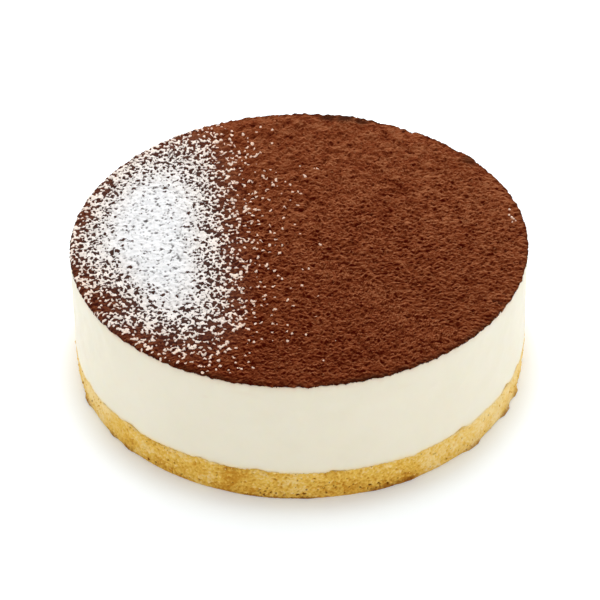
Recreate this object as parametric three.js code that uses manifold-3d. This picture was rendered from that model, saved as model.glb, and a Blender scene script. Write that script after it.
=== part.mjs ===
// A round semifreddo cake: a sponge slab, a tall layer of set cream, a cocoa top and a dust of icing sugar.
// Millimetres, +Z up. The origin is the centre of the underside. The front faces -Y, the sugar lies at -X.
// A turn of 0 is the front, and turns grow towards +X, so rings run anticlockwise seen from above.
import * as THREE from "three";
import { mergeVertices } from "three/addons/utils/BufferGeometryUtils.js";
import Module from "manifold-3d";

// Driving dimensions
const CAKE_RADIUS = 100;
const SPONGE_HEIGHT = 15.4;
const CREAM_TOP = 62;
const COCOA_THICKNESS = 1.6;

// Sponge slab: its side leans in towards the foot, and it stands out a little from under the cream
const SPONGE_SIDE = [
  { radius: 98.3, level: 0 },
  { radius: 98.9, level: 0.08 },
  { radius: 99.2, level: 0.32 },
  { radius: 99.5, level: 0.56 },
  { radius: 99.9, level: 0.8 },
  { radius: 100.1, level: 0.98 },
];
const SPONGE_ROUGHNESS = 0.25;
const SPONGE_INNER_RADIUS = 94;

// The line between sponge and cream wanders slowly, with torn teeth: turn and half width in degrees
const EDGE_WAVE = { height: 0.5, count: 3, shift: 1.83 };
const EDGE_TEETH = [
  { turn: -67, rise: 0.9, half: 2.5 },
  { turn: -47, rise: 0.9, half: 3.5 },
  { turn: -25.5, rise: 0.6, half: 2.5 },
  { turn: -11, rise: 0.8, half: 3 },
  { turn: 7.5, rise: 0.8, half: 2 },
  { turn: 28.6, rise: -0.9, half: 2 },
  { turn: 43.6, rise: 1.4, half: 2.5 },
  { turn: 53, rise: 0.9, half: 3 },
  { turn: 63.5, rise: 1.4, half: 2.5 },
  { turn: 71, rise: 1.3, half: 2.5 },
  { turn: 100, rise: 1, half: 3 },
  { turn: 118, rise: 0.8, half: 2.5 },
  { turn: 139, rise: 1.2, half: 3 },
  { turn: 163, rise: 0.7, half: 3 },
  { turn: 200, rise: 1.1, half: 2.5 },
  { turn: 222, rise: 0.8, half: 3 },
  { turn: 245, rise: 1.3, half: 3 },
  { turn: 268, rise: 0.9, half: 2.5 },
];
const TOOTH_BULGE = 0.45;

// Set cream: a smooth upright side with a small round at its upper edge
const CREAM_SIDE_ROWS = 3;
const CREAM_EDGE_ROUND = 0.6;
const CREAM_UNEVENNESS = 0.12;
const SIDE_STEPS = 160;

// Cocoa: a hexagonal net of points, one ring of six more points at each step, with a rolled rim
const COCOA_RINGS = 27;
const COCOA_NET_RADIUS = 97.6;
const COCOA_LUMP = 0.36;
const COCOA_RIM = [
  { radius: 98.9, drop: 0.15 },
  { radius: 99.8, drop: 0.6 },
  { radius: 100, drop: 1.15 },
  { radius: 99.2, drop: COCOA_THICKNESS },
];
const RIM_ROUGHNESS = 0.2;

// Icing sugar: thick inside an oval that stops short of the middle of the cake, thinning out at its edges
const SUGAR_OVAL = { x: -36, y: 7, radius: 62, stretch: 1.1, fade: 9 };
const SUGAR_STOP = { x: -38.5, fade: 6.7 };
const SUGAR_HEART = { x: -66, y: 6 };
const SUGAR_PAD_COVER = 0.62;
const SUGAR_PAD_RINGS = 12;
const SUGAR_PAD_THICKNESS = 0.7;
const SUGAR_PAD_EDGE = 0.2;
const SUGAR_PAD_LUMP = 0.25;
const SUGAR_PAD_RAGGED = 2.4;
const SUGAR_PAD_MARGIN = 4;

// Largest loose clumps of sugar beyond the pad
const CLUMP_COUNT = 44;
const CLUMP_SPACING = 5.5;
const CLUMP_RADIUS = { least: 0.8, most: 1.5 };
const CLUMP_FLATNESS = 0.6;
const CLUMP_COVER = { least: 0.05, most: 0.55 };
const CLUMP_CLEARANCE = 3;
const CLUMP_RIM_CLEARANCE = 4;
const CLUMP_TRIES = 4000;

const COCOA_TOP = CREAM_TOP + COCOA_THICKNESS;
const FULL_TURN = 2 * Math.PI;
const NET_SIDES = 6;
const HALVINGS = 24;
const SEEDS = { sponge: 11, cream: 23, sugar: 37, cocoa: 53, clumps: 71 };

// Random numbers between 0 and 1 that come out the same on every run
function randomFrom(seed) {
  let state = seed;
  return function next() {
    state = (state + 0x6d2b79f5) | 0;
    let mixed = Math.imul(state ^ (state >>> 15), 1 | state);
    mixed = (mixed + Math.imul(mixed ^ (mixed >>> 7), 61 | mixed)) ^ mixed;
    return ((mixed ^ (mixed >>> 14)) >>> 0) / 4294967296;
  };
}

// A random step up or down, at most size
function jitter(random, size) {
  return (2 * random() - 1) * size;
}

// A point at a turn around the cake's axis
function around(turn, radius, z) {
  return [radius * Math.sin(turn), -radius * Math.cos(turn), z];
}

// A skin is a list of points and a list of triangles that together close one solid
function newSkin() {
  return { points: [], faces: [] };
}

function addPoint(skin, point) {
  skin.points.push(point);
  return skin.points.length - 1;
}

function addRing(skin, count, place) {
  const ring = [];
  for (let step = 0; step < count; step += 1) {
    ring.push(addPoint(skin, place((step / count) * FULL_TURN)));
  }
  return ring;
}

function addFace(skin, first, second, third, flipped) {
  skin.faces.push(flipped ? [first, third, second] : [first, second, third]);
}

// A band of triangles between two rings of the same count, facing out when the second ring is above the first
function addBand(skin, lower, upper, flipped = false) {
  lower.forEach((point, step) => {
    const next = (step + 1) % lower.length;
    addFace(skin, point, lower[next], upper[next], flipped);
    addFace(skin, point, upper[next], upper[step], flipped);
  });
}

// A fan of triangles from a centre to a ring, facing up unless it is flipped
function addCap(skin, ring, centre, flipped = false) {
  ring.forEach((point, step) => addFace(skin, centre, point, ring[(step + 1) % ring.length], flipped));
}

// Triangles between ring k of a hexagonal net, with 6k points, and ring k + 1, with six more
function addNetBand(skin, inner, outer) {
  const perSide = outer.length / NET_SIDES;
  const innerAt = (index) => inner[index % inner.length];
  for (let side = 0; side < NET_SIDES; side += 1) {
    for (let step = 0; step < perSide; step += 1) {
      const outerHere = outer[side * perSide + step];
      const outerNext = outer[(side * perSide + step + 1) % outer.length];
      const innerHere = innerAt(side * (perSide - 1) + step);
      addFace(skin, innerHere, outerHere, outerNext, false);
      if (step < perSide - 1) {
        addFace(skin, innerHere, outerNext, innerAt(side * (perSide - 1) + step + 1), false);
      }
    }
  }
}

// A disc of a hexagonal net that faces up: place gives a point for a turn and a share of the way to the rim
function addNet(skin, ringCount, place) {
  const centre = addPoint(skin, place(0, 0));
  let inner = addRing(skin, NET_SIDES, (turn) => place(turn, 1 / ringCount));
  addCap(skin, inner, centre);
  for (let ring = 2; ring <= ringCount; ring += 1) {
    const outer = addRing(skin, NET_SIDES * ring, (turn) => place(turn, ring / ringCount));
    addNetBand(skin, inner, outer);
    inner = outer;
  }
  return inner;
}

function geometryOf(skin) {
  const geometry = new THREE.BufferGeometry();
  geometry.setAttribute("position", new THREE.Float32BufferAttribute(skin.points.flat(), 3));
  geometry.setIndex(skin.faces.flat());
  geometry.computeVertexNormals();
  return geometry;
}

// Sum of the torn teeth at a turn, each a triangle over its own width
function teeth(turn) {
  return EDGE_TEETH.reduce((sum, tooth) => {
    const apart = THREE.MathUtils.euclideanModulo(turn - THREE.MathUtils.degToRad(tooth.turn), FULL_TURN);
    const nearest = Math.min(apart, FULL_TURN - apart);
    return sum + tooth.rise * Math.max(0, 1 - nearest / THREE.MathUtils.degToRad(tooth.half));
  }, 0);
}

// Height of the line between sponge and cream at the side
function spongeEdge(turn) {
  return SPONGE_HEIGHT + EDGE_WAVE.height * Math.cos(EDGE_WAVE.count * turn + EDGE_WAVE.shift) + teeth(turn);
}

// The face where sponge and cream meet, the same points for both: level in the middle, wandering at its rim
function addSeam(skin, flipped) {
  const rim = addRing(skin, SIDE_STEPS, (turn) => around(turn, CAKE_RADIUS, spongeEdge(turn)));
  const inner = addRing(skin, SIDE_STEPS, (turn) => around(turn, SPONGE_INNER_RADIUS, SPONGE_HEIGHT));
  const centre = addPoint(skin, [0, 0, SPONGE_HEIGHT]);
  addBand(skin, rim, inner, flipped);
  addCap(skin, inner, centre, flipped);
  return rim;
}

// Where a tooth rises, the side below it bulges too
function spongeGeometry() {
  const random = randomFrom(SEEDS.sponge);
  const skin = newSkin();
  const rows = SPONGE_SIDE.map((row) =>
    addRing(skin, SIDE_STEPS, (turn) => {
      const bulge = TOOTH_BULGE * row.level * Math.max(0, teeth(turn));
      const rough = jitter(random, SPONGE_ROUGHNESS);
      return around(turn, row.radius + bulge + rough, row.level * spongeEdge(turn));
    }),
  );
  addCap(skin, rows[0], addPoint(skin, [0, 0, 0]), true);
  rows.push(addSeam(skin, false));
  rows.slice(1).forEach((row, index) => addBand(skin, rows[index], row));
  return geometryOf(skin);
}

function creamGeometry() {
  const random = randomFrom(SEEDS.cream);
  const skin = newSkin();
  const rows = [addSeam(skin, true)];
  const wallTop = CREAM_TOP - CREAM_EDGE_ROUND;
  for (let row = 1; row <= CREAM_SIDE_ROWS; row += 1) {
    const share = row / CREAM_SIDE_ROWS;
    rows.push(
      addRing(skin, SIDE_STEPS, (turn) => {
        const bottom = spongeEdge(turn);
        const radius = CAKE_RADIUS + jitter(random, CREAM_UNEVENNESS);
        return around(turn, radius, bottom + share * (wallTop - bottom));
      }),
    );
  }
  rows.push(addRing(skin, SIDE_STEPS, (turn) => around(turn, CAKE_RADIUS - CREAM_EDGE_ROUND, CREAM_TOP)));
  rows.slice(1).forEach((row, index) => addBand(skin, rows[index], row));
  addCap(skin, rows[rows.length - 1], addPoint(skin, [0, 0, CREAM_TOP]));
  return geometryOf(skin);
}

// Share of the cocoa that sugar covers at a place, from 0 to 1
function sugarCover(x, y) {
  const reach = Math.hypot(x - SUGAR_OVAL.x, (y - SUGAR_OVAL.y) / SUGAR_OVAL.stretch);
  const inOval = 1 / (1 + Math.exp((reach - SUGAR_OVAL.radius) / SUGAR_OVAL.fade));
  const beforeStop = 1 / (1 + Math.exp((x - SUGAR_STOP.x) / SUGAR_STOP.fade));
  return inOval * beforeStop;
}

// Distance from the heart of the sugar to the edge of its thick pad, found by halving
function padReach(turn) {
  let near = 0;
  let far = CAKE_RADIUS;
  for (let halving = 0; halving < HALVINGS; halving += 1) {
    const middle = (near + far) / 2;
    const [dx, dy] = around(turn, middle, 0);
    const covered = sugarCover(SUGAR_HEART.x + dx, SUGAR_HEART.y + dy) > SUGAR_PAD_COVER;
    near = covered ? middle : near;
    far = covered ? far : middle;
  }
  return near;
}

// How far a place lies outside the pad, negative inside
function beyondPad(x, y) {
  const dx = x - SUGAR_HEART.x;
  const dy = y - SUGAR_HEART.y;
  return Math.hypot(dx, dy) - padReach(Math.atan2(dx, -dy));
}

// The thick of the sugar: a level underside on the cocoa, a ragged outline and a lumpy top
function sugarGeometry() {
  const random = randomFrom(SEEDS.sugar);
  const skin = newSkin();
  const rim = addNet(skin, SUGAR_PAD_RINGS, (turn, share) => {
    const ragged = share === 1 ? SUGAR_PAD_RAGGED * random() : 0;
    const [dx, dy] = around(turn, padReach(turn) * share - ragged, 0);
    const rise = SUGAR_PAD_THICKNESS * Math.sqrt(1 - share * share);
    const lump = share === 1 ? 0 : jitter(random, SUGAR_PAD_LUMP * Math.min(1, rise / SUGAR_PAD_LUMP));
    return [SUGAR_HEART.x + dx, SUGAR_HEART.y + dy, COCOA_TOP + SUGAR_PAD_EDGE + rise + lump];
  });
  const under = rim.map((point) => {
    const [x, y] = skin.points[point];
    return addPoint(skin, [x, y, COCOA_TOP]);
  });
  addBand(skin, under, rim);
  addCap(skin, under, addPoint(skin, [SUGAR_HEART.x, SUGAR_HEART.y, COCOA_TOP]), true);
  return geometryOf(skin);
}

// Height of the cocoa at a point of its net: level under the pad of sugar, lumpy elsewhere
function cocoaHeight(x, y, random) {
  const lump = jitter(random, COCOA_LUMP);
  return beyondPad(x, y) < SUGAR_PAD_MARGIN ? COCOA_TOP : COCOA_TOP + lump;
}

function cocoaGeometry() {
  const random = randomFrom(SEEDS.cocoa);
  const skin = newSkin();
  const netRim = addNet(skin, COCOA_RINGS, (turn, share) => {
    const [x, y] = around(turn, COCOA_NET_RADIUS * share, 0);
    return [x, y, cocoaHeight(x, y, random)];
  });
  const lowest = COCOA_RIM.length - 1;
  const rows = [netRim];
  COCOA_RIM.forEach((row, index) => {
    const rough = index < lowest ? RIM_ROUGHNESS : 0;
    const ring = addRing(skin, netRim.length, (turn) =>
      around(turn, row.radius + jitter(random, rough), COCOA_TOP - row.drop + jitter(random, rough)),
    );
    addBand(skin, ring, rows[rows.length - 1]);
    rows.push(ring);
  });
  addCap(skin, rows[rows.length - 1], addPoint(skin, [0, 0, CREAM_TOP]), true);
  return geometryOf(skin);
}

// Places for the loose clumps: drawn at random, kept where the sugar thins out, apart and clear of the pad
function clumpPlaces(random) {
  const places = [];
  for (let attempt = 0; attempt < CLUMP_TRIES && places.length < CLUMP_COUNT; attempt += 1) {
    const x = jitter(random, CAKE_RADIUS);
    const y = jitter(random, CAKE_RADIUS);
    const cover = sugarCover(x, y);
    const inBand = cover > CLUMP_COVER.least && cover < CLUMP_COVER.most;
    const onTop = Math.hypot(x, y) < COCOA_NET_RADIUS - CLUMP_RIM_CLEARANCE;
    const apart = places.every((other) => Math.hypot(x - other.x, y - other.y) > CLUMP_SPACING);
    if (inBand && onTop && apart && beyondPad(x, y) > CLUMP_CLEARANCE) {
      places.push({ x, y });
    }
  }
  return places;
}

function clumpGeometry(place, random) {
  const radius = CLUMP_RADIUS.least + random() * (CLUMP_RADIUS.most - CLUMP_RADIUS.least);
  const clump = new THREE.IcosahedronGeometry(radius, 0);
  clump.rotateX(random() * FULL_TURN);
  clump.rotateZ(random() * FULL_TURN);
  clump.scale(1, 1, CLUMP_FLATNESS);
  clump.translate(place.x, place.y, COCOA_TOP);
  return clump;
}

const wasm = await Module();
wasm.setup();

function solidOf(geometry) {
  const bare = geometry.clone();
  bare.deleteAttribute("normal");
  bare.deleteAttribute("uv");
  const merged = mergeVertices(bare);
  return new wasm.Manifold(
    new wasm.Mesh({
      numProp: 3,
      vertProperties: new Float32Array(merged.attributes.position.array),
      triVerts: new Uint32Array(merged.index.array),
    }),
  );
}

// The cocoa with the loose clumps joined to it, so that they come as one solid
function cocoaWithClumps() {
  const random = randomFrom(SEEDS.clumps);
  const clumps = clumpPlaces(random).map((place) => solidOf(clumpGeometry(place, random)));
  const joined = clumps.reduce((solid, clump) => solid.add(clump), solidOf(cocoaGeometry()));
  const mesh = joined.getMesh();
  const geometry = new THREE.BufferGeometry();
  geometry.setAttribute("position", new THREE.BufferAttribute(mesh.vertProperties, 3));
  geometry.setIndex(new THREE.BufferAttribute(mesh.triVerts, 1));
  geometry.computeVertexNormals();
  return geometry;
}

function addPiece(group, name, geometry, colour, roughness) {
  const material = new THREE.MeshStandardMaterial({ color: colour, roughness, metalness: 0 });
  const piece = new THREE.Mesh(geometry, material);
  piece.name = name;
  group.add(piece);
}

const cake = new THREE.Group();
addPiece(cake, "sponge_base", spongeGeometry(), 0xd0a755, 0.9);
addPiece(cake, "cream_layer", creamGeometry(), 0xe8e3d2, 0.5);
addPiece(cake, "cocoa_top", cocoaWithClumps(), 0x703d25, 0.95);
addPiece(cake, "icing_sugar", sugarGeometry(), 0xf6f4f4, 0.85);

export default cake;
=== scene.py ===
# %% [markdown]
# # A semifreddo cake
# This lesson dresses a plain model of a cake: a sponge slab, a tall layer of set cream, a lumpy cocoa top and
# a drift of icing sugar on its left side. The plain model comes in as a fixed frame, in metres, +Z up, with
# the front towards -Y. Each layer is then made again as a fine mesh that keeps the plain solid's form.

# %% Load the frame
import math

import bpy
import numpy as np
from mathutils import Matrix, Vector


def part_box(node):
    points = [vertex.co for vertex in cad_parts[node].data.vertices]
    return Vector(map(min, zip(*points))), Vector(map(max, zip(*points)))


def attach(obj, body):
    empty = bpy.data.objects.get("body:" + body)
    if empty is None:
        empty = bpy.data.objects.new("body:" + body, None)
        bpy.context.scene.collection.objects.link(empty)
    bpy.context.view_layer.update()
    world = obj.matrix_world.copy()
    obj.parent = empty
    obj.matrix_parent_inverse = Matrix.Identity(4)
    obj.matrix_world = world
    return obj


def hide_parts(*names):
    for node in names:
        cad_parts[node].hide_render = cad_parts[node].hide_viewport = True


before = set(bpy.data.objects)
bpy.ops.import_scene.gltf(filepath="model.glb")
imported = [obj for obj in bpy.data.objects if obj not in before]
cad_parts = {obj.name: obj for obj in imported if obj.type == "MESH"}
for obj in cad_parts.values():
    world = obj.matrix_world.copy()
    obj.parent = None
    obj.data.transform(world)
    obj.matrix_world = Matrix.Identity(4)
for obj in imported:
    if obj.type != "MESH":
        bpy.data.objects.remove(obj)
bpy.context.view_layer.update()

print("nodes:", sorted(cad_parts))

# %% [markdown]
# ## Sizes
# The frame knows how big the cake is, so the main sizes are read from it. The few values that describe the
# line between sponge and cream are the same rule as in the plain model: a slow wave with torn teeth on it.
# A turn of 0 is the front, and turns grow towards +X.

# %% Sizes from the frame
MM = 0.001
CAKE_RADIUS = round((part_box("cream_layer")[1].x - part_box("cream_layer")[0].x) / 2, 3)
CREAM_TOP = round(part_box("cream_layer")[1].z, 4)
COCOA_THICKNESS = 1.6 * MM
COCOA_TOP = CREAM_TOP + COCOA_THICKNESS
SPONGE_HEIGHT = 15.4 * MM
EDGE_WAVE_HEIGHT, EDGE_WAVE_COUNT, EDGE_WAVE_SHIFT = 0.5 * MM, 3, 1.83
# Turn in degrees, rise in millimetres and half width in degrees of each torn tooth
EDGE_TEETH = (
    (-67, 0.9, 2.5), (-47, 0.9, 3.5), (-25.5, 0.6, 2.5), (-11, 0.8, 3), (7.5, 0.8, 2), (28.6, -0.9, 2),
    (43.6, 1.4, 2.5), (53, 0.9, 3), (63.5, 1.4, 2.5), (71, 1.3, 2.5), (100, 1, 3), (118, 0.8, 2.5),
    (139, 1.2, 3), (163, 0.7, 3), (200, 1.1, 2.5), (222, 0.8, 3), (245, 1.3, 3), (268, 0.9, 2.5),
)


def turn_gap(turn, degrees):
    """Angle between turns and one fixed turn, the short way round, in degrees."""
    return np.abs((np.degrees(turn) - degrees + 180) % 360 - 180)


def torn_teeth(turn):
    """Sum of triangles, each as high as its tooth at its own turn and nought past its half width."""
    shares = [rise * MM * np.maximum(0, 1 - turn_gap(turn, place) / half) for place, rise, half in EDGE_TEETH]
    return np.sum(shares, axis=0)


def sponge_edge(turn):
    """Height of the line between sponge and cream: the slab's height, a slow cosine wave and the teeth."""
    wave = EDGE_WAVE_HEIGHT * np.cos(EDGE_WAVE_COUNT * turn + EDGE_WAVE_SHIFT)
    return SPONGE_HEIGHT + wave + torn_teeth(turn)


print("radius %.1f, cream to %.1f, cocoa to %.1f mm" % (CAKE_RADIUS / MM, CREAM_TOP / MM, COCOA_TOP / MM))

# %% [markdown]
# ## Noise in real millimetres
# Food is uneven at known sizes: cocoa lumps of two or three millimetres, pores of one. White noise that is
# filtered by wavelength has exactly the sizes that are asked for. It is made as a whole array at once, and it
# repeats at its edges, so a field wrapped around the cake has no seam.

# %% Noise fields
def noise_field(shape, step, shortest, longest, slope, seed, stretch=1.0):
    """White noise kept between two wavelengths, with a mean of 0 and a spread of 1.

    Each wave is weighed by its wavelength to the power of slope, faded out smoothly below the shortest
    wavelength and above the longest. Stretch makes the pattern longer along its rows.
    """
    spectrum = np.fft.rfft2(np.random.default_rng(seed).standard_normal(shape))
    along = np.fft.fftfreq(shape[0], step)[:, None]
    across = np.fft.rfftfreq(shape[1], step)[None, :]
    frequency = np.maximum(np.hypot(along, stretch * across), 1e-9)
    fade = np.exp(-((frequency * shortest) ** 2)) * (1 - np.exp(-((frequency * longest) ** 2)))
    field = np.fft.irfft2(spectrum * frequency ** -slope * fade, shape)
    return (field - field.mean()) / field.std()


# %% [markdown]
# ## Meshes from arrays
# Every piece is a grid of points worked out by a formula. A grid that runs around the cake closes on itself,
# so its last column joins its first. Small crumbs are one shape repeated: a jittered icosahedron, turned and
# scaled for each place, all joined into one mesh.

# %% Mesh helpers
def around(radius, turn):
    """The x and y at radii and turns: the radius times the sine, and less the radius times the cosine."""
    return radius * np.sin(turn), -radius * np.cos(turn)


def grid_faces(index, wrap):
    """Quads between neighbours of a grid of point numbers, the last column joined to the first if wrap."""
    after = np.roll(index, -1, axis=1) if wrap else index[:, 1:]
    here = index if wrap else index[:, :-1]
    return np.stack([here[:-1], after[:-1], after[1:], here[1:]], axis=-1).reshape(-1, 4)


def fan_faces(ring, centre, facing_up):
    """Triangles from a centre point to each side of a ring that runs anticlockwise seen from above."""
    after = np.roll(ring, -1)
    first, second = (ring, after) if facing_up else (after, ring)
    return np.stack([np.full(len(ring), centre), first, second], axis=-1)


def round_mesh(radius, turn, height, low, high):
    """Points and faces of a closed round piece: rings from below upwards, and fans to two centres."""
    rings = np.stack([*around(radius, turn), height], axis=-1).reshape(-1, 3)
    number = np.arange(radius.size).reshape(radius.shape)
    faces = [
        grid_faces(number, wrap=True),
        fan_faces(number[0], radius.size, facing_up=False),
        fan_faces(number[-1], radius.size + 1, facing_up=True),
    ]
    return np.concatenate([rings, [(0, 0, low), (0, 0, high)]]), faces


def new_piece(name, points, face_sets, material, attributes):
    """A mesh object from an array of points and arrays of faces, with a value at each point per attribute."""
    mesh = bpy.data.meshes.new(name)
    corners = np.concatenate([faces.ravel() for faces in face_sets])
    sizes = np.concatenate([np.full(len(faces), faces.shape[1]) for faces in face_sets])
    mesh.vertices.add(len(points))
    mesh.vertices.foreach_set("co", np.asarray(points, np.float32).ravel())
    mesh.loops.add(len(corners))
    mesh.loops.foreach_set("vertex_index", corners.astype(np.int32))
    mesh.polygons.add(len(sizes))
    mesh.polygons.foreach_set("loop_start", (np.cumsum(sizes) - sizes).astype(np.int32))
    mesh.update(calc_edges=True)
    mesh.validate()
    mesh.shade_smooth()
    for label, values in attributes.items():
        layer = mesh.attributes.new(label, "FLOAT", "POINT")
        layer.data.foreach_set("value", np.asarray(values, np.float32).ravel())
    mesh.materials.append(material)
    piece = bpy.data.objects.new(name, mesh)
    bpy.context.scene.collection.objects.link(piece)
    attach(piece, "root")
    print("%s: %d points, %d triangles" % (name, len(points), np.sum(sizes - 2)))
    return piece


# %% Joined crumbs
CRUMB_CORNERS = 12
CRUMB_JITTER, CRUMB_STRETCH = 0.28, (0.65, 1.2)


def icosahedron():
    """Corners and faces of a unit icosahedron: three golden rectangles across each other."""
    golden = (1 + math.sqrt(5)) / 2
    short = np.array([(-1, golden), (1, golden), (-1, -golden), (1, -golden)])
    corners = np.zeros((CRUMB_CORNERS, 3))
    corners[0:4, :2] = short
    corners[4:8, 1:] = short
    corners[8:12, 2] = short[:, 0]
    corners[8:12, 0] = short[:, 1]
    faces = np.array([
        (0, 11, 5), (0, 5, 1), (0, 1, 7), (0, 7, 10), (0, 10, 11), (1, 5, 9), (5, 11, 4), (11, 10, 2),
        (10, 7, 6), (7, 1, 8), (3, 9, 4), (3, 4, 2), (3, 2, 6), (3, 6, 8), (3, 8, 9), (4, 9, 5), (2, 4, 11),
        (6, 2, 10), (8, 6, 7), (9, 8, 1),
    ])
    return corners / math.hypot(1, golden), faces


def random_turns(random, count):
    """Rotation matrices from random unit quaternions."""
    w, x, y, z = random.standard_normal((4, count))
    length = np.sqrt(w * w + x * x + y * y + z * z)
    w, x, y, z = w / length, x / length, y / length, z / length
    rows = [
        [1 - 2 * (y * y + z * z), 2 * (x * y - w * z), 2 * (x * z + w * y)],
        [2 * (x * y + w * z), 1 - 2 * (x * x + z * z), 2 * (y * z - w * x)],
        [2 * (x * z - w * y), 2 * (y * z + w * x), 1 - 2 * (x * x + y * y)],
    ]
    return np.moveaxis(np.array(rows), 2, 0)


def crumb_mesh(x, y, z, radii, seed):
    """Points and faces of joined crumbs: icosahedra with jittered corners, each stretched and turned."""
    random = np.random.default_rng(seed)
    corners, faces = icosahedron()
    count = len(radii)
    jitter = 1 + random.uniform(-CRUMB_JITTER, CRUMB_JITTER, (count, CRUMB_CORNERS, 1))
    stretch = random.uniform(*CRUMB_STRETCH, (count, 1, 3))
    shapes = corners[None] * jitter * stretch * radii[:, None, None]
    shapes = np.einsum("nij,nkj->nki", random_turns(random, count), shapes)
    points = (shapes + np.stack([x, y, z], axis=-1)[:, None, :]).reshape(-1, 3)
    numbers = faces[None] + CRUMB_CORNERS * np.arange(count)[:, None, None]
    return points, numbers.reshape(-1, 3)


# %% [markdown]
# ## Materials
# All four layers are matt foods, so they share one recipe: a Principled surface whose colour is laid on in
# layers of hex colours, each mixed over the one before by its own share. That share is either stored on the
# mesh, such as how deep a pore is, or is a noise texture whose scale is worked out from a real size.

# %% Material helpers
# Numbers of the colour sockets of a Mix node
MIX_SHARE, MIX_FIRST, MIX_SECOND, MIX_OUT = 0, 6, 7, 2
HALVES = ((0.0, 0.5), (0.5, 1.0))


def linear(hex_colour):
    """A hex colour in sRGB as linear red, green, blue and an alpha of 1."""
    shares = [int(hex_colour[start:start + 2], 16) / 255 for start in (1, 3, 5)]
    return [share / 12.92 if share <= 0.04045 else ((share + 0.055) / 1.055) ** 2.4 for share in shares] + [1]


def add_node(tree, kind, inputs, **settings):
    """Adds a node, sets its properties, and fills its inputs with values or with links from other outputs."""
    node = tree.nodes.new(kind)
    for name, value in settings.items():
        setattr(node, name, value)
    for name, value in inputs.items():
        if isinstance(value, bpy.types.NodeSocket):
            tree.links.new(value, node.inputs[name])
        else:
            node.inputs[name].default_value = value
    return node


def new_material(name, stored, **surface):
    """A Principled material, with outputs for the place on its piece and for values stored on the mesh.

    The values of the surface are set by socket name, with _ for each space.
    """
    material = bpy.data.materials.new(name)
    material.use_nodes = True
    tree = material.node_tree
    shader = tree.nodes["Principled BSDF"]
    for socket, value in surface.items():
        shader.inputs[socket.replace("_", " ")].default_value = value
    place = add_node(tree, "ShaderNodeTexCoord", {}).outputs["Object"]
    nodes = [add_node(tree, "ShaderNodeAttribute", {}, attribute_name=label) for label in stored]
    print("made", name)
    return material, tree, shader, place, *(node.outputs["Fac"] for node in nodes)


# %% [markdown]
# ### Sifted cocoa powder
# Cocoa sifted on cream draws moisture, so it is darker where damp and lighter where dry, in drifts and
# streaks.
# Light and shade from the lamps behind the cake are also painted into its colour: painted light on the far
# side of each lump, painted shade on its near side and in the dents. One stored value holds the dryness
# together with this painted light and shade. The same painting is done once more for the fine grain: a noise
# is read a little nearer and a little further back, and the difference says which side of a grain this is, so
# its far side gets painted light and its near side painted shade. The grains are clots of one to two
# millimetres, a little longer from side to side, because single grains are too fine to show. Two more stored
# values lie over that: one greys the powder between the sugar flecks and paints shade there, and one paints
# shade on the rim, which also stands for damp powder.

# %% Cocoa material
# Tones from dark to light: damp powder and painted shade at the dark end, dry powder and painted light at the
# light end
COCOA_WET_SHADED, COCOA_DAMP_HALF_LIT, COCOA_DRY_LIT = "#420900", "#75381c", "#9d6341"
# Grey-brown of sugar-dusted powder in painted shade between the flecks, and the painted shade of the rim
COCOA_DUSTED_SHADED, COCOA_LIP_SHADE = "#4a3630", "#35170a"
COCOA_GRAIN, COCOA_GRAIN_SIDE, COCOA_GRAIN_STRETCH = 1.45 * MM, 0.22 * MM, 1.3
# How much the painted light and shade of the grain shows up to the middle and at the back, where the powder
# lies smoother
GRAIN_SHOWS, GRAIN_SHOWS_BACK, GRAIN_BACK = 2.3, 1.2, 90 * MM
COCOA_PATCH, COCOA_PATCH_SHARE = 14 * MM, 0.3
COCOA_BUMP = 0.25 * MM

cocoa_powder, tree, shader, place, dry_and_lit, dust_and_shade, lip = new_material(
    "sifted_cocoa_powder", ("dry_and_lit", "dust_and_shade", "lip"), Roughness=0.95, Specular_IOR_Level=0.02,
)
sides = []
# Painted light and shade of the fine grain: the noise read a little nearer less the one read a little further
# back is light on a grain's far side and shade on its near side
for side in (-COCOA_GRAIN_SIDE, COCOA_GRAIN_SIDE):
    shift = {"Vector": place, "Location": (0, side, 0), "Scale": (1 / COCOA_GRAIN_STRETCH, 1, 1)}
    moved = add_node(tree, "ShaderNodeMapping", shift).outputs[0]
    texture = {"Vector": moved, "Scale": 1 / COCOA_GRAIN, "Detail": 1.0}
    sides.append(add_node(tree, "ShaderNodeTexNoise", texture).outputs["Fac"])
grain = add_node(tree, "ShaderNodeMath", {0: sides[0], 1: sides[1]}).outputs[0]
far_side = add_node(tree, "ShaderNodeMath", {0: sides[0], 1: sides[1]}, operation="SUBTRACT").outputs[0]
patch = add_node(tree, "ShaderNodeTexNoise", {"Vector": place, "Scale": 1 / COCOA_PATCH, "Detail": 2.0})
depth = add_node(tree, "ShaderNodeSeparateXYZ", {"Vector": place}).outputs["Y"]
fading = {"Value": depth, "From Max": GRAIN_BACK, "To Min": GRAIN_SHOWS, "To Max": GRAIN_SHOWS_BACK}
grain_share = add_node(tree, "ShaderNodeMapRange", fading).outputs[0]
drift = {0: patch.outputs["Fac"], 1: COCOA_PATCH_SHARE, 2: -COCOA_PATCH_SHARE / 2}
drift = add_node(tree, "ShaderNodeMath", drift, operation="MULTIPLY_ADD").outputs[0]
speckle = {0: far_side, 1: grain_share, 2: drift}
speckle = add_node(tree, "ShaderNodeMath", speckle, operation="MULTIPLY_ADD").outputs[0]
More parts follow.
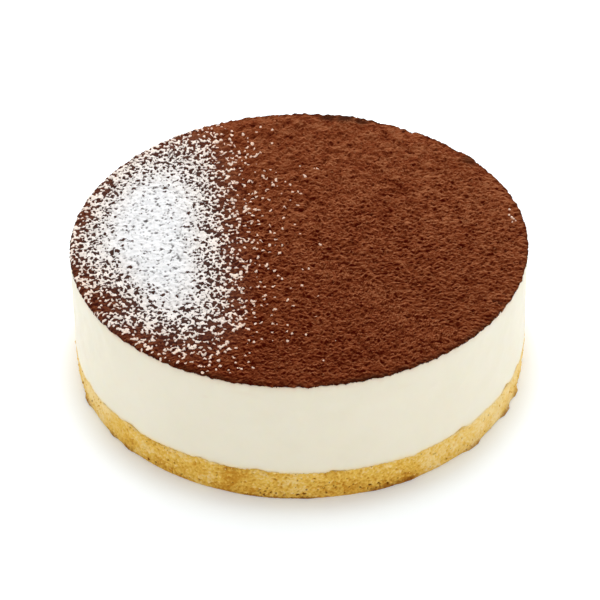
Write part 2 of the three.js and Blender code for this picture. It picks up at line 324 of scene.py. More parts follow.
# Dryness together with the painted light and shade of the lumps and of the fine grain
dryness_and_light = add_node(tree, "ShaderNodeMath", {0: dry_and_lit, 1: speckle}).outputs[0]
damp_half_lit_step, dry_lit_step = (
    add_node(tree, "ShaderNodeMapRange", {"Value": dryness_and_light, "From Min": low, "From Max": high}).outputs[0]
    for low, high in HALVES
)
layers = ((damp_half_lit_step, COCOA_DAMP_HALF_LIT), (dry_lit_step, COCOA_DRY_LIT), (dust_and_shade, COCOA_DUSTED_SHADED), (lip, COCOA_LIP_SHADE))
colour = linear(COCOA_WET_SHADED)
for share, shade in layers:
    mix = {MIX_SHARE: share, MIX_FIRST: colour, MIX_SECOND: linear(shade)}
    colour = add_node(tree, "ShaderNodeMix", mix, data_type="RGBA").outputs[MIX_OUT]
bump = add_node(tree, "ShaderNodeBump", {"Height": grain, "Strength": 0.8, "Distance": COCOA_BUMP})
tree.links.new(colour, shader.inputs["Base Color"])
tree.links.new(bump.outputs["Normal"], shader.inputs["Normal"])

# %% [markdown]
# ### Icing sugar
# Icing sugar is milled so fine that it looks like white flour. Light goes a little way into it, so its edges
# stay bright. Single flecks take up a little cocoa and turn a warm white, and the thick of it stays a cold
# white.
# Its hollows, where the sugar is thin, are painted a grey-brown shade. Two stored values, for the thickness
# and for the hollows, say where these are. The bump is again coarser than the real grain.

# %% Sugar material
# The last colour is the painted shade of the hollows
SUGAR_TINTED, SUGAR_WARM, SUGAR_COLD, SUGAR_HOLLOW_SHADE = "#fadbc4", "#f9ede3", "#ebebec", "#524d4b"
# Covers between which a fleck goes from tinted to warm, and from warm to cold
WARM_COVERS, COLD_COVERS = (0.05, 0.35), (0.35, 0.8)
SUGAR_GRAIN, SUGAR_BUMP = 0.6 * MM, 0.2 * MM

icing_powder, tree, shader, place, thick, hollow_shade = new_material(
    "sifted_icing_sugar", ("thick", "hollow_shade"), Roughness=0.85, Specular_IOR_Level=0.2,
    Subsurface_Weight=0.25, Subsurface_Radius=(1.0, 0.95, 0.9), Subsurface_Scale=0.5 * MM,
)
grain = add_node(tree, "ShaderNodeTexNoise", {"Vector": place, "Scale": 1 / SUGAR_GRAIN, "Detail": 1.0})
warm_step, cold_step = (
    add_node(tree, "ShaderNodeMapRange", {"Value": thick, "From Min": low, "From Max": high}).outputs[0]
    for low, high in (WARM_COVERS, COLD_COVERS)
)
colour = linear(SUGAR_TINTED)
for share, shade in ((warm_step, SUGAR_WARM), (cold_step, SUGAR_COLD), (hollow_shade, SUGAR_HOLLOW_SHADE)):
    mix = {MIX_SHARE: share, MIX_FIRST: colour, MIX_SECOND: linear(shade)}
    colour = add_node(tree, "ShaderNodeMix", mix, data_type="RGBA").outputs[MIX_OUT]
relief = {"Height": grain.outputs["Fac"], "Strength": 0.25, "Distance": SUGAR_BUMP}
bump = add_node(tree, "ShaderNodeBump", relief)
tree.links.new(colour, shader.inputs["Base Color"])
tree.links.new(bump.outputs["Normal"], shader.inputs["Normal"])

# %% [markdown]
# ### Set cream
# Whipped cream that was set against a smooth ring is satin and ivory. Light enters it and spreads, which is
# why its shadows are soft and warm. A stored "stain" tints it just under the cocoa, where powder has bled
# into it, and in a few faint smudges, and "soak" yellows it just above the sponge.

# %% Cream material
CREAM_IVORY, CREAM_PALE, CREAM_SOAKED, CREAM_STAINED = "#eee5cd", "#f4ebd7", "#fbdc9c", "#da9a6c"
CREAM_CLOUD = 22 * MM

set_cream, tree, shader, place, soak, stain = new_material(
    "set_whipped_cream", ("soak", "stain"), Roughness=0.5, Specular_IOR_Level=0.35,
    Subsurface_Weight=0.5, Subsurface_Radius=(1.0, 0.8, 0.5), Subsurface_Scale=3 * MM,
)
cloud = add_node(tree, "ShaderNodeTexNoise", {"Vector": place, "Scale": 1 / CREAM_CLOUD, "Detail": 3.0})
colour = linear(CREAM_IVORY)
for share, shade in ((cloud.outputs["Fac"], CREAM_PALE), (soak, CREAM_SOAKED), (stain, CREAM_STAINED)):
    mix = {MIX_SHARE: share, MIX_FIRST: colour, MIX_SECOND: linear(shade)}
    colour = add_node(tree, "ShaderNodeMix", mix, data_type="RGBA").outputs[MIX_OUT]
tree.links.new(colour, shader.inputs["Base Color"])

# %% [markdown]
# ### Baked sponge
# The cut side of a yellow sponge has a golden crumb, deep yellow between its cells and painted dark inside
# its pores, a shade laid into the colour, with a browned skin left at its edges. A darker line at its foot is
# brown skin and painted contact shade. Where the knife has smeared the crumb it is paler. Three stored values
# say where each of these is.

# %% Sponge material
SPONGE_DEEP, SPONGE_GOLD, SPONGE_PALE = "#ce9330", "#ecc057", "#f6d99a"
# Painted shade inside the pores, and the brown of the skin, which also paints contact shade at the foot
SPONGE_PORE_SHADE, SPONGE_CRUST_AND_SHADE = "#6a2e00", "#8c5219"
SPONGE_GRAIN, SPONGE_BUMP = 1.0 * MM, 0.25 * MM

baked_sponge, tree, shader, place, pore, crust_and_foot_shade, pale = new_material(
    "baked_yellow_sponge", ("pore", "crust_and_foot_shade", "pale"), Roughness=0.9, Specular_IOR_Level=0.02,
    Subsurface_Weight=0.1, Subsurface_Radius=(1.0, 0.6, 0.25), Subsurface_Scale=0.6 * MM,
)
grain = add_node(tree, "ShaderNodeTexNoise", {"Vector": place, "Scale": 1 / SPONGE_GRAIN, "Detail": 2.0})
speckle = add_node(tree, "ShaderNodeMath", {0: grain.outputs["Fac"], 1: 0.5}, operation="SUBTRACT")
tone = add_node(tree, "ShaderNodeMath", {0: pale, 1: speckle.outputs[0]}).outputs[0]
gold_step, pale_step = (
    add_node(tree, "ShaderNodeMapRange", {"Value": tone, "From Min": low, "From Max": high}).outputs[0]
    for low, high in HALVES
)
layers = ((gold_step, SPONGE_GOLD), (pale_step, SPONGE_PALE), (pore, SPONGE_PORE_SHADE), (crust_and_foot_shade, SPONGE_CRUST_AND_SHADE))
colour = linear(SPONGE_DEEP)
for share, shade in layers:
    mix = {MIX_SHARE: share, MIX_FIRST: colour, MIX_SECOND: linear(shade)}
    colour = add_node(tree, "ShaderNodeMix", mix, data_type="RGBA").outputs[MIX_OUT]
relief = {"Height": grain.outputs["Fac"], "Strength": 0.5, "Distance": SPONGE_BUMP}
bump = add_node(tree, "ShaderNodeBump", relief)
tree.links.new(colour, shader.inputs["Base Color"])
tree.links.new(bump.outputs["Normal"], shader.inputs["Normal"])

# %% [markdown]
# ## Relief of the cocoa
# The cocoa's lumps are worked out once, as a square field of heights over the whole top. The cocoa mesh, the
# sugar that lies on it and the crumbs all read the same field, so nothing floats and nothing sinks. The lumps
# run from one millimetre to nine, the wider the higher, with a few deeper dents and a few bumps. Towards the
# rim the top falls, more at the back, and wider knobs take the place of the lumps.

# %% Cocoa relief
TOP_STEP = 0.25 * MM
TOP_CELLS = 864
TOP_HALF = TOP_STEP * TOP_CELLS / 2
TOP_SHAPE = (TOP_CELLS, TOP_CELLS)
LUMP_HEIGHT, SWELL_HEIGHT, KNOB_HEIGHT = 0.42 * MM, 0.15 * MM, 0.22 * MM
# Where the rim starts, the share of the lumps that it lacks, and its fall all round and further at the back
RIM_FROM, RIM_LENGTH, RIM_SMOOTHING = 90 * MM, 9 * MM, 0.4
RIM_FALL, RIM_FALL_BACK = 0.1 * MM, 1.35 * MM
# How fast that further fall grows from the middle to the back, until it is full
BACK_GROWTH = 1.4
# Place, radius and depth in millimetres of the deeper dents: less than no depth is a bump
DENTS = (
    (45, 41, 2.0, 0.8), (64, 28, 2.0, 0.8), (16, 33.5, 1.4, 0.6), (46, 37, 1.5, 0.6), (24.5, 95.5, 6, -1.0),
    (38, 92, 4, 1.3), (51, 86, 4, 1.5), (71, 70, 3, 1.2), (77.5, 62.5, 4.5, -0.85),
)


def ramp(value, start, length):
    """A straight step from 0 at the start to 1 a length further on, downwards if the length is below 0."""
    return np.clip((value - start) / length, 0, 1)


def round_spot(x, y, place_x, place_y, radius, power=2):
    """A bell over a place in millimetres, 1 at its middle: the higher the power, the flatter its top."""
    return np.exp(-((np.hypot(x / MM - place_x, y / MM - place_y) / radius) ** power))


def field_at(field, x, y):
    """Value of a field of the top at points between its cells: the four nearest cells mixed by nearness."""
    across = (x + TOP_HALF) / TOP_STEP
    along = (y + TOP_HALF) / TOP_STEP
    column = np.clip(np.floor(across).astype(int), 0, TOP_CELLS - 2)
    row = np.clip(np.floor(along).astype(int), 0, TOP_CELLS - 2)
    right = across - column
    up = along - row
    near = field[row, column] * (1 - right) + field[row, column + 1] * right
    far = field[row + 1, column] * (1 - right) + field[row + 1, column + 1] * right
    return near * (1 - up) + far * up


lumps = noise_field(TOP_SHAPE, TOP_STEP, 0.8 * MM, 9 * MM, 0.9, seed=3, stretch=1.15)
knobs = noise_field(TOP_SHAPE, TOP_STEP, 2.5 * MM, 8 * MM, 0.8, seed=6)
swells = noise_field(TOP_SHAPE, TOP_STEP, 10 * MM, 30 * MM, 1, seed=4)
top_side = np.arange(TOP_CELLS) * TOP_STEP - TOP_HALF
top_x, top_y = np.meshgrid(top_side, top_side)
dents = sum(sunk * MM * round_spot(top_x, top_y, *dent) for *dent, sunk in DENTS)
near_rim = ramp(np.hypot(top_x, top_y), RIM_FROM, RIM_LENGTH)
near_rim = near_rim ** 2 * (3 - 2 * near_rim)
to_back = top_y / CAKE_RADIUS
rim_fall = near_rim * (RIM_FALL + RIM_FALL_BACK * np.clip(BACK_GROWTH * to_back, 0, 1))
cocoa_lumps = (LUMP_HEIGHT * lumps + SWELL_HEIGHT * swells) * (1 - RIM_SMOOTHING * near_rim) - dents
cocoa_lumps = cocoa_lumps + KNOB_HEIGHT * near_rim * knobs
cocoa_relief = cocoa_lumps - rim_fall
print("cocoa relief from %.2f to %.2f mm" % (cocoa_relief.min() / MM, cocoa_relief.max() / MM))

# %% [markdown]
# ## Dry and damp cocoa, with painted light and shade
# The lamps stand behind the cake, so light is painted on the slope that faces away from the viewer and shade
# on the near one. That slope is one gradient of the relief, taken for the whole field at once. Lump tops get
# a little painted light and the dents painted shade. The top is also lighter towards the back and the right,
# with long faint streaks, and a few places of the back rim are painted in deep shade.

# %% Cocoa dryness
# Dryness in the middle, what far slopes and lump tops add to it as painted light, and what the back, the
# right and streaks add to it
DRY_MIDDLE, LIT_FAR_SLOPES, DRY_AND_LIT_LUMPS, DRY_BACK, DRY_RIGHT, DRY_STREAKS = 0.48, 0.215, 0.03, 0.11, 0.09, 0.07
# Painted shade that each millimetre of a dent takes off, and what is taken off at the front and the back
DENT_SHADE, DAMP_ENDS = 0.5, 0.06
# Shares lost of the slopes at the back and of the dents at the rim
SLOPES_LOST, DENTS_LOST = 0.4, 0.8
# Share of the streaks that is there everywhere, and what is added from a little before the middle
STREAKS_LEAST, STREAKS_MORE, STREAKS_FROM = 0.6, 0.8, -0.3
# Place and radius in millimetres of the places at the back rim painted in deep shade, and how dark they are
SHADED_PLACES = ((14, 95.5, 4.2, 0.9), (22, 94, 4.6, 0.95), (29.5, 92, 3.8, 0.85), (78, 60, 4.5, 0.65))

streaks = noise_field(TOP_SHAPE, TOP_STEP, 3 * MM, 12 * MM, 0.6, seed=5, stretch=1.9)
streak_share = DRY_STREAKS * (STREAKS_LEAST + STREAKS_MORE * ramp(to_back, STREAKS_FROM, 1))
far_slope = -np.gradient(cocoa_lumps, TOP_STEP, axis=0)
far_slope = far_slope / far_slope.std()
dry_and_lit_share = DRY_MIDDLE + LIT_FAR_SLOPES * (1 - SLOPES_LOST * np.clip(to_back, 0, 1)) * far_slope
dry_and_lit_share = dry_and_lit_share + DRY_AND_LIT_LUMPS * lumps - DENT_SHADE * (1 - DENTS_LOST * near_rim) * dents / MM
dry_and_lit_share = dry_and_lit_share + DRY_BACK * to_back + DRY_RIGHT * top_x / CAKE_RADIUS - DAMP_ENDS * to_back ** 2
dry_and_lit_share = np.clip(dry_and_lit_share + streak_share * streaks, 0, 1)
deep_shade_share = np.max([damp * round_spot(top_x, top_y, *spot, power=4) for *spot, damp in SHADED_PLACES], axis=0)
print("mean dryness %.2f" % dry_and_lit_share.mean())

# %% [markdown]
# ## Where the sugar fell
# The sugar was sifted from one side, so it is thick in an oval near the left rim, thins out towards the
# middle and stops short of it. Cover is the share of the cocoa that it hides: one smooth step for the oval's
# edge times another for the stop line, a little less at the rim, with a few thinner and thicker places.

# %% Sugar cover
# The oval's middle, radius and soft edge in millimetres, and how much longer it is front to back
OVAL_X, OVAL_Y, OVAL_RADIUS, OVAL_FADE, OVAL_STRETCH = -21.5, 7.2, 69, 10, 1.11
STOP_X, STOP_LEAN, STOP_FADE = -40.2, 0.06, 8.8
THIN_RIM_FROM, THIN_RIM_LENGTH, THIN_RIM_LACK = 88, 11, 0.1
# Place and radius of the thinner places, and how much they lack: less than none is a thicker place
THIN_PLACES = (
    (-81, -42, 11, 0.38), (-57, 60, 19, 0.13), (-86, 40, 9, 0.15), (-95, 21, 8, 0.25), (-94, -11, 8, -0.18),
    (-79.5, -57.5, 6, -0.8), (-83, -22, 11, 0.2),
)
# Highest share of greyed powder in painted shade between the flecks, the cover at which it starts and that
# over which it grows
SHADED_DUST_MOST, SHADED_DUST_FROM, SHADED_DUST_LENGTH = 0.9, 0.08, 0.4


def sugar_cover(x, y):
    """Share of the cocoa under sugar: a smooth step at the oval's edge times one at the stop line."""
    reach = np.hypot(x / MM - OVAL_X, (y / MM - OVAL_Y) / OVAL_STRETCH)
    in_oval = 1 / (1 + np.exp((reach - OVAL_RADIUS) / OVAL_FADE))
    before_stop = 1 / (1 + np.exp((x / MM + STOP_LEAN * y / MM - STOP_X) / STOP_FADE))
    at_rim = ramp(np.hypot(x, y) / MM, THIN_RIM_FROM, THIN_RIM_LENGTH)
    share = in_oval * before_stop * (1 - THIN_RIM_LACK * at_rim)
    for *thin, lack in THIN_PLACES:
        share = share * (1 - lack * round_spot(x, y, *thin))
    return share


def dust_and_shade_at(x, y):
    """Share of shaded, sugar-greyed powder in bare cocoa: none where the cover is thin, most in the heart."""
    return SHADED_DUST_MOST * ramp(sugar_cover(x, y), SHADED_DUST_FROM, SHADED_DUST_LENGTH)


print("cover at the heart %.2f" % sugar_cover(np.array(-66 * MM), np.array(6 * MM)))

# %% [markdown]
# ## The rim and lip of the cocoa
# The rim is a rounded profile carried around the cake. Its lower lip wanders as a layer of powder does: it is
# lower at the left and the back and has small scallops. Shade is painted on the lip, which also stands for
# damp powder, more on a few stretches. These are all functions of the turn, so that the crumbs, the sugar and
# the cream can ask for the same rim later on.

# %% Cocoa rim
COCOA_FLAT_RADIUS = 97.8 * MM
# Radius in millimetres and share of the way down to the lip, from the top inwards under the lip
RIM_PROFILE = (
    (98.7, 0.05), (99.35, 0.16), (99.8, 0.34), (100.1, 0.56), (100.22, 0.78), (100.18, 0.95), (99.9, 1.02),
    (99.2, 1.02),
)
RIM_WIDTH = 2 * MM
LIP_LEVEL, LIP_TILT, LIP_SCALLOP, LIP_SAMPLES = 62.15 * MM, 0.8 * MM, 0.2 * MM, 4096
# Painted shade all round the lip, also standing for damp powder, and how much it varies in blotches
LIP_DARK, LIP_BLOTCH = 0.32, 0.15
# Turn and half width in degrees of the stretches of the lip with more painted shade, and how much more they
# get
DARK_LIP = ((-62, 24, -0.28), (-25, 9, 0.4), (15.5, 8, 0.65), (30, 7, 0.25), (47, 9, 0.5), (178, 25, 0.3))

lip_step = 2 * np.pi * CAKE_RADIUS / LIP_SAMPLES
lip_waves = noise_field((1, LIP_SAMPLES), lip_step, 2 * MM, 12 * MM, 0.5, seed=7)[0]


def turn_hump(turn, degrees, half):
    """A smooth hump over turns: 1 at its middle, falling as a bell of the given half width in degrees."""
    return np.exp(-(turn_gap(turn, degrees) / half) ** 2)


def at_back(turn):
    """How far back a turn is: 0 up to the sides, then growing as the cosine to 1 before the very back."""
    return np.clip(-BACK_GROWTH * np.cos(turn), 0, 1)


def lip_noise(turn):
    """Value of the lip's noise at a turn."""
    place = (turn / (2 * np.pi) % 1) * LIP_SAMPLES
    return np.interp(place, np.arange(LIP_SAMPLES), lip_waves, period=LIP_SAMPLES)


def lip_dark(turn):
    """Share of painted shade at the lip, which also stands for damp powder: a little all round, more on a few
    stretches, with small blotches.
    """
    stretches = sum(share * turn_hump(turn, place, half) for place, half, share in DARK_LIP)
    return np.clip(LIP_DARK + stretches + LIP_BLOTCH * lip_noise(turn), 0, 1)


def rim_top_level(turn):
    """Height at which the rounded rim starts: the top less its fall, the rim's width in from the side."""
    return COCOA_TOP - field_at(rim_fall, *around(CAKE_RADIUS - RIM_WIDTH, turn))


def lip_level(turn):
    """Height of the cocoa's lower lip: lower at the left and the back, with small scallops."""
    return LIP_LEVEL + LIP_TILT * np.sin(turn) - RIM_FALL_BACK * at_back(turn) + LIP_SCALLOP * lip_noise(turn)


front = np.array(0.0)
print("rim from %.2f to %.2f mm at the front" % (rim_top_level(front) / MM, lip_level(front) / MM))

# %% [markdown]
# ## The cocoa top
# A disc could be a polar grid, but its points crowd together in the middle. Here a square grid is pressed
# into a disc instead: each square ring around the middle becomes a circle, so the points stay evenly spread.
# The rim starts from the points of the disc's border. Its lumps are read from the same field, unrolled past
# the edge of the top, and push outwards more and more towards the lip.

# %% Cocoa mesh
COCOA_GRID = 287
COCOA_UNDERSIDE = CREAM_TOP - 0.4 * MM
# Height by which the rim is unrolled, how soon its lumps turn outwards, and how far they then push
RIM_UNROLLED, RIM_OUTWARD, RIM_PUSH = 1.4 * MM, 1.4, 0.5
LIP_THINNEST = 0.3 * MM
# How much damper and more shaded the rim is at its lip, and how its painted shade starts and grows on the way
# down
RIM_DAMP_AND_SHADE, RIM_DARK, RIM_DARKER = 0.6, 0.35, 2.4
# Painted shade of the flat top at its very edge, and where in millimetres it starts and over which width it
# grows
EDGE_DARK, EDGE_DARK_FROM, EDGE_DARK_WIDTH = 0.3, 97, 0.8


def disc_grid(count):
    """A square grid pressed into a unit disc: the larger coordinate is the radius, the ratio the angle."""
    side = np.linspace(-1, 1, count)
    a, b = np.meshgrid(side, side, indexing="ij")
    steep = np.abs(b) >= np.abs(a)
    safe_a = np.where(a == 0, 1, a)
    safe_b = np.where(b == 0, 1, b)
    radius = np.where(steep, b, a)
    angle = np.where(steep, np.pi / 2 - np.pi / 4 * a / safe_b, np.pi / 4 * b / safe_a)
    return radius * np.cos(angle), radius * np.sin(angle)


disc_x, disc_y = disc_grid(COCOA_GRID)
flat_x = COCOA_FLAT_RADIUS * disc_x
flat_y = COCOA_FLAT_RADIUS * disc_y
flat_z = COCOA_TOP + field_at(cocoa_relief, flat_x, flat_y)
number = np.arange(COCOA_GRID ** 2).reshape(COCOA_GRID, COCOA_GRID)
border = np.concatenate([number[:-1, 0], number[-1, :-1], number[:0:-1, -1], number[0, :0:-1]])
border_x = disc_x.ravel()[border]
border_y = disc_y.ravel()[border]
border_turn = np.arctan2(border_x, -border_y)

profile_radius, rim_share = np.transpose(RIM_PROFILE)[:, :, None]
rim_radius = profile_radius * MM
rim_top = rim_top_level(border_turn)[None, :]
rim_bottom = lip_level(border_turn)[None, :]
step_out = np.diff(rim_radius, axis=0, prepend=COCOA_FLAT_RADIUS)
step_down = np.diff(rim_share, axis=0, prepend=0) * RIM_UNROLLED
unrolled = COCOA_FLAT_RADIUS + np.cumsum(np.hypot(step_out, step_down), axis=0)
unrolled_x = unrolled * border_x
unrolled_y = unrolled * border_y
rim_lump = field_at(cocoa_lumps, unrolled_x, unrolled_y)
outward = np.clip(rim_share * RIM_OUTWARD, 0, 1)
rim_radius = rim_radius + outward * rim_lump * RIM_PUSH
rim_level = rim_top - rim_share * (rim_top - rim_bottom) + (1 - outward) * rim_lump
rim_level = np.maximum(rim_level, rim_bottom + LIP_THINNEST * (1 - rim_share))
rim_points = np.stack([rim_radius * border_x, rim_radius * border_y, rim_level], axis=-1).reshape(-1, 3)

flat_points = np.stack([flat_x, flat_y, flat_z], axis=-1).reshape(-1, 3)
cocoa_points = np.concatenate([flat_points, rim_points, [(0, 0, COCOA_UNDERSIDE)]])
rim_number = COCOA_GRID ** 2 + np.arange(len(rim_points)).reshape(len(RIM_PROFILE), -1)
cocoa_faces = [
    grid_faces(number.T, wrap=False),
    grid_faces(np.concatenate([border[None, :], rim_number])[::-1], wrap=True),
    fan_faces(rim_number[-1], len(cocoa_points) - 1, facing_up=False),
]
# Dryness with its painted light and shade; down the rim it gets damper and more shaded towards the lip
flat_dry_and_lit = field_at(dry_and_lit_share, flat_x, flat_y)
rim_dry_and_lit = field_at(dry_and_lit_share, unrolled_x, unrolled_y) * (1 - RIM_DAMP_AND_SHADE * rim_share)
# Painted shade at the very edge of the top and down the rim, with deep shade at a few places
at_edge = ramp(np.hypot(flat_x, flat_y) / MM, EDGE_DARK_FROM, EDGE_DARK_WIDTH)
flat_lip_shade = EDGE_DARK * at_edge * lip_dark(np.arctan2(flat_x, -flat_y)) ** 2
flat_lip_shade = np.maximum(flat_lip_shade, field_at(deep_shade_share, flat_x, flat_y))
rim_lip_shade = np.clip(RIM_DARK + RIM_DARKER * rim_share, 0, 1) * lip_dark(border_turn)[None, :]
rim_lip_shade = np.maximum(rim_lip_shade, field_at(deep_shade_share, unrolled_x, unrolled_y))
cocoa = new_piece("cocoa_top_powder", cocoa_points, cocoa_faces, cocoa_powder, {
    "dry_and_lit": np.concatenate([flat_dry_and_lit.ravel(), rim_dry_and_lit.ravel(), [0.5]]),
    "dust_and_shade": dust_and_shade_at(cocoa_points[:, 0], cocoa_points[:, 1]),
    "lip": np.concatenate([flat_lip_shade.ravel(), rim_lip_shade.ravel(), [0]]),
})
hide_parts("cocoa_top")

# %% [markdown]
# ## Loose cocoa
# Sifted cocoa leaves small loose lumps on the top and a row of them hanging at the rim, more at the right,
# where the ring was lifted off. Where the rim has a dent, they sit as much further in. Each crumb has only
# twenty faces, because there are well over a thousand of them.

# %% Cocoa crumbs
# Number, sizes in millimetres, and how far they stand out as a share of the size, on the top and at the rim
TOP_CRUMBS, TOP_CRUMB_SIZES, TOP_CRUMB_LIFT = 800, (0.25, 0.5), 0.2
RIM_CRUMBS, RIM_CRUMB_SIZES, RIM_CRUMB_LIFT = 700, (0.18, 0.42), 0.1
TOP_CRUMB_REACH, RIM_CRUMB_RADIUS = 98 * MM, 100.05 * MM
# Share of the rim's crumbs that lie all round, and the turn and spread of the others
ALL_ROUND, RIM_CRUMB_TURN, RIM_CRUMB_SPREAD = 0.5, math.radians(48), math.radians(20)
# How far down the rim they hang, as shares of the way to the lip, and from where on they get painted shade
RIM_CRUMB_DOWN, DARK_CRUMB_FROM, DARK_CRUMB = (0.5, 1.1), 0.6, 0.9
CRUMB_DRYNESS = 0.25, 0.95
# Where the lower half of the rim lies in the unrolled field
RIM_IN_FIELD = 100.8 * MM


def scatter_on_disc(random, radius, count):
    """Places spread evenly over a disc: the radius times the root of a random share, at a random turn."""
    reach = radius * np.sqrt(random.uniform(0, 1, count))
    return around(reach, random.uniform(0, 2 * np.pi, count))


random = np.random.default_rng(12)
crumb_x, crumb_y = scatter_on_disc(random, TOP_CRUMB_REACH, TOP_CRUMBS)
crumb_size = random.uniform(*TOP_CRUMB_SIZES, TOP_CRUMBS) * MM
crumb_z = COCOA_TOP + field_at(cocoa_relief, crumb_x, crumb_y) + TOP_CRUMB_LIFT * crumb_size

hang_turn = np.where(
    random.uniform(0, 1, RIM_CRUMBS) < ALL_ROUND, random.uniform(0, 2 * np.pi, RIM_CRUMBS),
    random.normal(RIM_CRUMB_TURN, RIM_CRUMB_SPREAD, RIM_CRUMBS),
)
hang_down = random.uniform(*RIM_CRUMB_DOWN, RIM_CRUMBS)
hang_size = random.uniform(*RIM_CRUMB_SIZES, RIM_CRUMBS) * MM
hang_dent = np.minimum(0, field_at(cocoa_lumps, *around(RIM_IN_FIELD, hang_turn)))
hang_z = rim_top_level(hang_turn) - hang_down * (rim_top_level(hang_turn) - lip_level(hang_turn))
hang_z = hang_z + (1 - np.clip(RIM_OUTWARD * hang_down, 0, 1)) * hang_dent
hang_x, hang_y = around(RIM_CRUMB_RADIUS + RIM_CRUMB_LIFT * hang_size + RIM_PUSH * hang_dent, hang_turn)
crumb_points, crumb_faces = crumb_mesh(
    np.append(crumb_x, hang_x), np.append(crumb_y, hang_y), np.append(crumb_z, hang_z),
    np.append(crumb_size, hang_size), seed=13,
)
crumb_dry = random.uniform(*CRUMB_DRYNESS, TOP_CRUMBS + RIM_CRUMBS)
# Crumbs low on the rim get the painted shade of the lip
crumb_lip_shade = np.append(np.zeros(TOP_CRUMBS), DARK_CRUMB * (hang_down > DARK_CRUMB_FROM))
cocoa_crumbs = new_piece("cocoa_crumbs", crumb_points, [crumb_faces], cocoa_powder, {
    "dry_and_lit": np.repeat(crumb_dry, CRUMB_CORNERS), "dust_and_shade": dust_and_shade_at(crumb_points[:, 0], crumb_points[:, 1]),
    "lip": np.repeat(crumb_lip_shade, CRUMB_CORNERS),
})

# %% [markdown]
# ## Clots of icing sugar
# Sifted sugar falls as small clots of about a millimetre. Each is caught by one lump of cocoa, so they keep a
# lump's distance from each other: apart where there are few, touching where there are many. So thousands of
# small oval domes stand on a loose grid, which is turned so that its rows don't show. There are fewer where
# the cover is thin, and they are wider where it is thick. A few are missing even in the heart, which leaves
# small dark dots.

# %% Clot places
CLOT_SPACING, CLOT_JITTER, CLOT_TURN = 1.42 * MM, 0.38, math.radians(23)
# Distance of the rows of a triangular grid, for a distance of 1 between its points
ROW_SPACING = math.sin(math.pi / 3)
# Chance that a lump of cocoa has caught a clot, for each share of cover, and the highest chance
CLOT_CHANCE, CLOT_CHANCE_MOST = 1.65, 0.9
CLOT_PATCHINESS, CLOT_SWELL = 0.15, 1.14
# Size of a clot where the cover is thinnest, and the cover at which it has its full size
CLOT_LEAST, CLOT_FULL_COVER = 0.88, 0.3
# How much wider clots are in the thick of it, the cover at which that starts, and over which it grows
CLOT_WIDER, WIDER_FROM, WIDER_LENGTH = 0.25, 0.7, 0.2
CLOT_SIZES, CLOT_LENGTHS, CLOT_LEAN = (0.7, 1.3), (1, 1.35), 0.6


def clot_places(seed):
    """Places, radii, lengths and leans of the clots, on a triangular grid that is turned and jittered.

    A clot is kept by a chance that grows with the cover, and its radius is the one with which all the kept
    clots together give that cover.
    """
    random = np.random.default_rng(seed)
    across_count = int(2 * TOP_HALF / CLOT_SPACING)
    row, column = np.indices((int(across_count / ROW_SPACING), across_count)).reshape(2, -1)
    moved_x, moved_y = random.uniform(-CLOT_JITTER, CLOT_JITTER, (2, row.size))
    right = (column + row % 2 / 2 + moved_x) * CLOT_SPACING - TOP_HALF
    ahead = (row * ROW_SPACING + moved_y) * CLOT_SPACING - TOP_HALF
    x = right * math.cos(CLOT_TURN) - ahead * math.sin(CLOT_TURN)
    y = right * math.sin(CLOT_TURN) + ahead * math.cos(CLOT_TURN)
    patches = noise_field(TOP_SHAPE, TOP_STEP, 3 * MM, 10 * MM, 0.5, seed=23)
    share = np.clip(sugar_cover(x, y) * (1 + CLOT_PATCHINESS * field_at(patches, x, y)), 1e-6, 1)
    chance = np.minimum(CLOT_CHANCE_MOST, CLOT_CHANCE * share)
    fuller = (1 - CLOT_LEAST) * ramp(share, 0, CLOT_FULL_COVER)
    wider = CLOT_WIDER * ramp(share, WIDER_FROM, WIDER_LENGTH)
    radius = CLOT_SWELL * CLOT_SPACING * np.sqrt(share / chance * ROW_SPACING / math.pi)
    radius = radius * (CLOT_LEAST + fuller + wider)
    kept = random.uniform(0, 1, x.size) < chance
    count = np.count_nonzero(kept)
    radius = radius[kept] * random.uniform(*CLOT_SIZES, count)
    return x[kept], y[kept], radius, random.uniform(*CLOT_LENGTHS, count), random.normal(0, CLOT_LEAN, count)


clots_found = clot_places(seed=27)
print("%d clots of sugar" % clots_found[0].size)

# %% [markdown]
# ## Skin of the sugar
# The highest dome at each place is the skin of the sugar. Where two touching domes are about equally high, a
# parting is carved between them, so that flecks stay apart. A fine noise makes their edges ragged, and more
# sugar stays on the far side of a cocoa lump than on its near side. In the thick heart the gaps between the
# clots are filled, and only shallow hollows are left of them, painted in a grey shade.

# %% Sugar heights
CLOT_REACH, CLOT_RAGGEDNESS = 1.75 * MM, 0.14
# Depth and width of the parting between two clots, the cover at which it is gone, and over which it fades
PARTING, PARTING_WIDTH, PARTING_END, PARTING_FADE = 0.5, 1.3, 0.7, -0.3
# How much more sugar stays on a far side, its share where the cover is thin, and the cover that gives it all
FAR_SIDE, FAR_SIDE_LEAST, FAR_SIDE_COVER = 0.25, 0.4, 0.4
# Cover at which the heart starts and over which it grows, how far it fills gaps, and how much smoother it is
HEART_FROM, HEART_LENGTH, HEART_FILL, HEART_SMOOTHING = 0.57, 0.26, 1.5, 0.4
# Height of the domes at which a hollow starts and over which its painted shade darkens, and its loss in the
# thickest sugar
HOLLOW_FROM, HOLLOW_LENGTH, HOLLOW_LOSS, LOSS_FROM, LOSS_LENGTH = -0.1, -0.3, 0.1, 0.8, 0.1
SUGAR_THICKNESS, HEART_THICKNESS = 0.42 * MM, 0.25 * MM
# How deep the skin dips under the cocoa around a clot, how steeply, and the relief a full cover levels
SUGAR_DIP, SUGAR_DIP_SLOPE, RELIEF_LEVELLED = 0.25 * MM, 0.5 * MM, 0.5


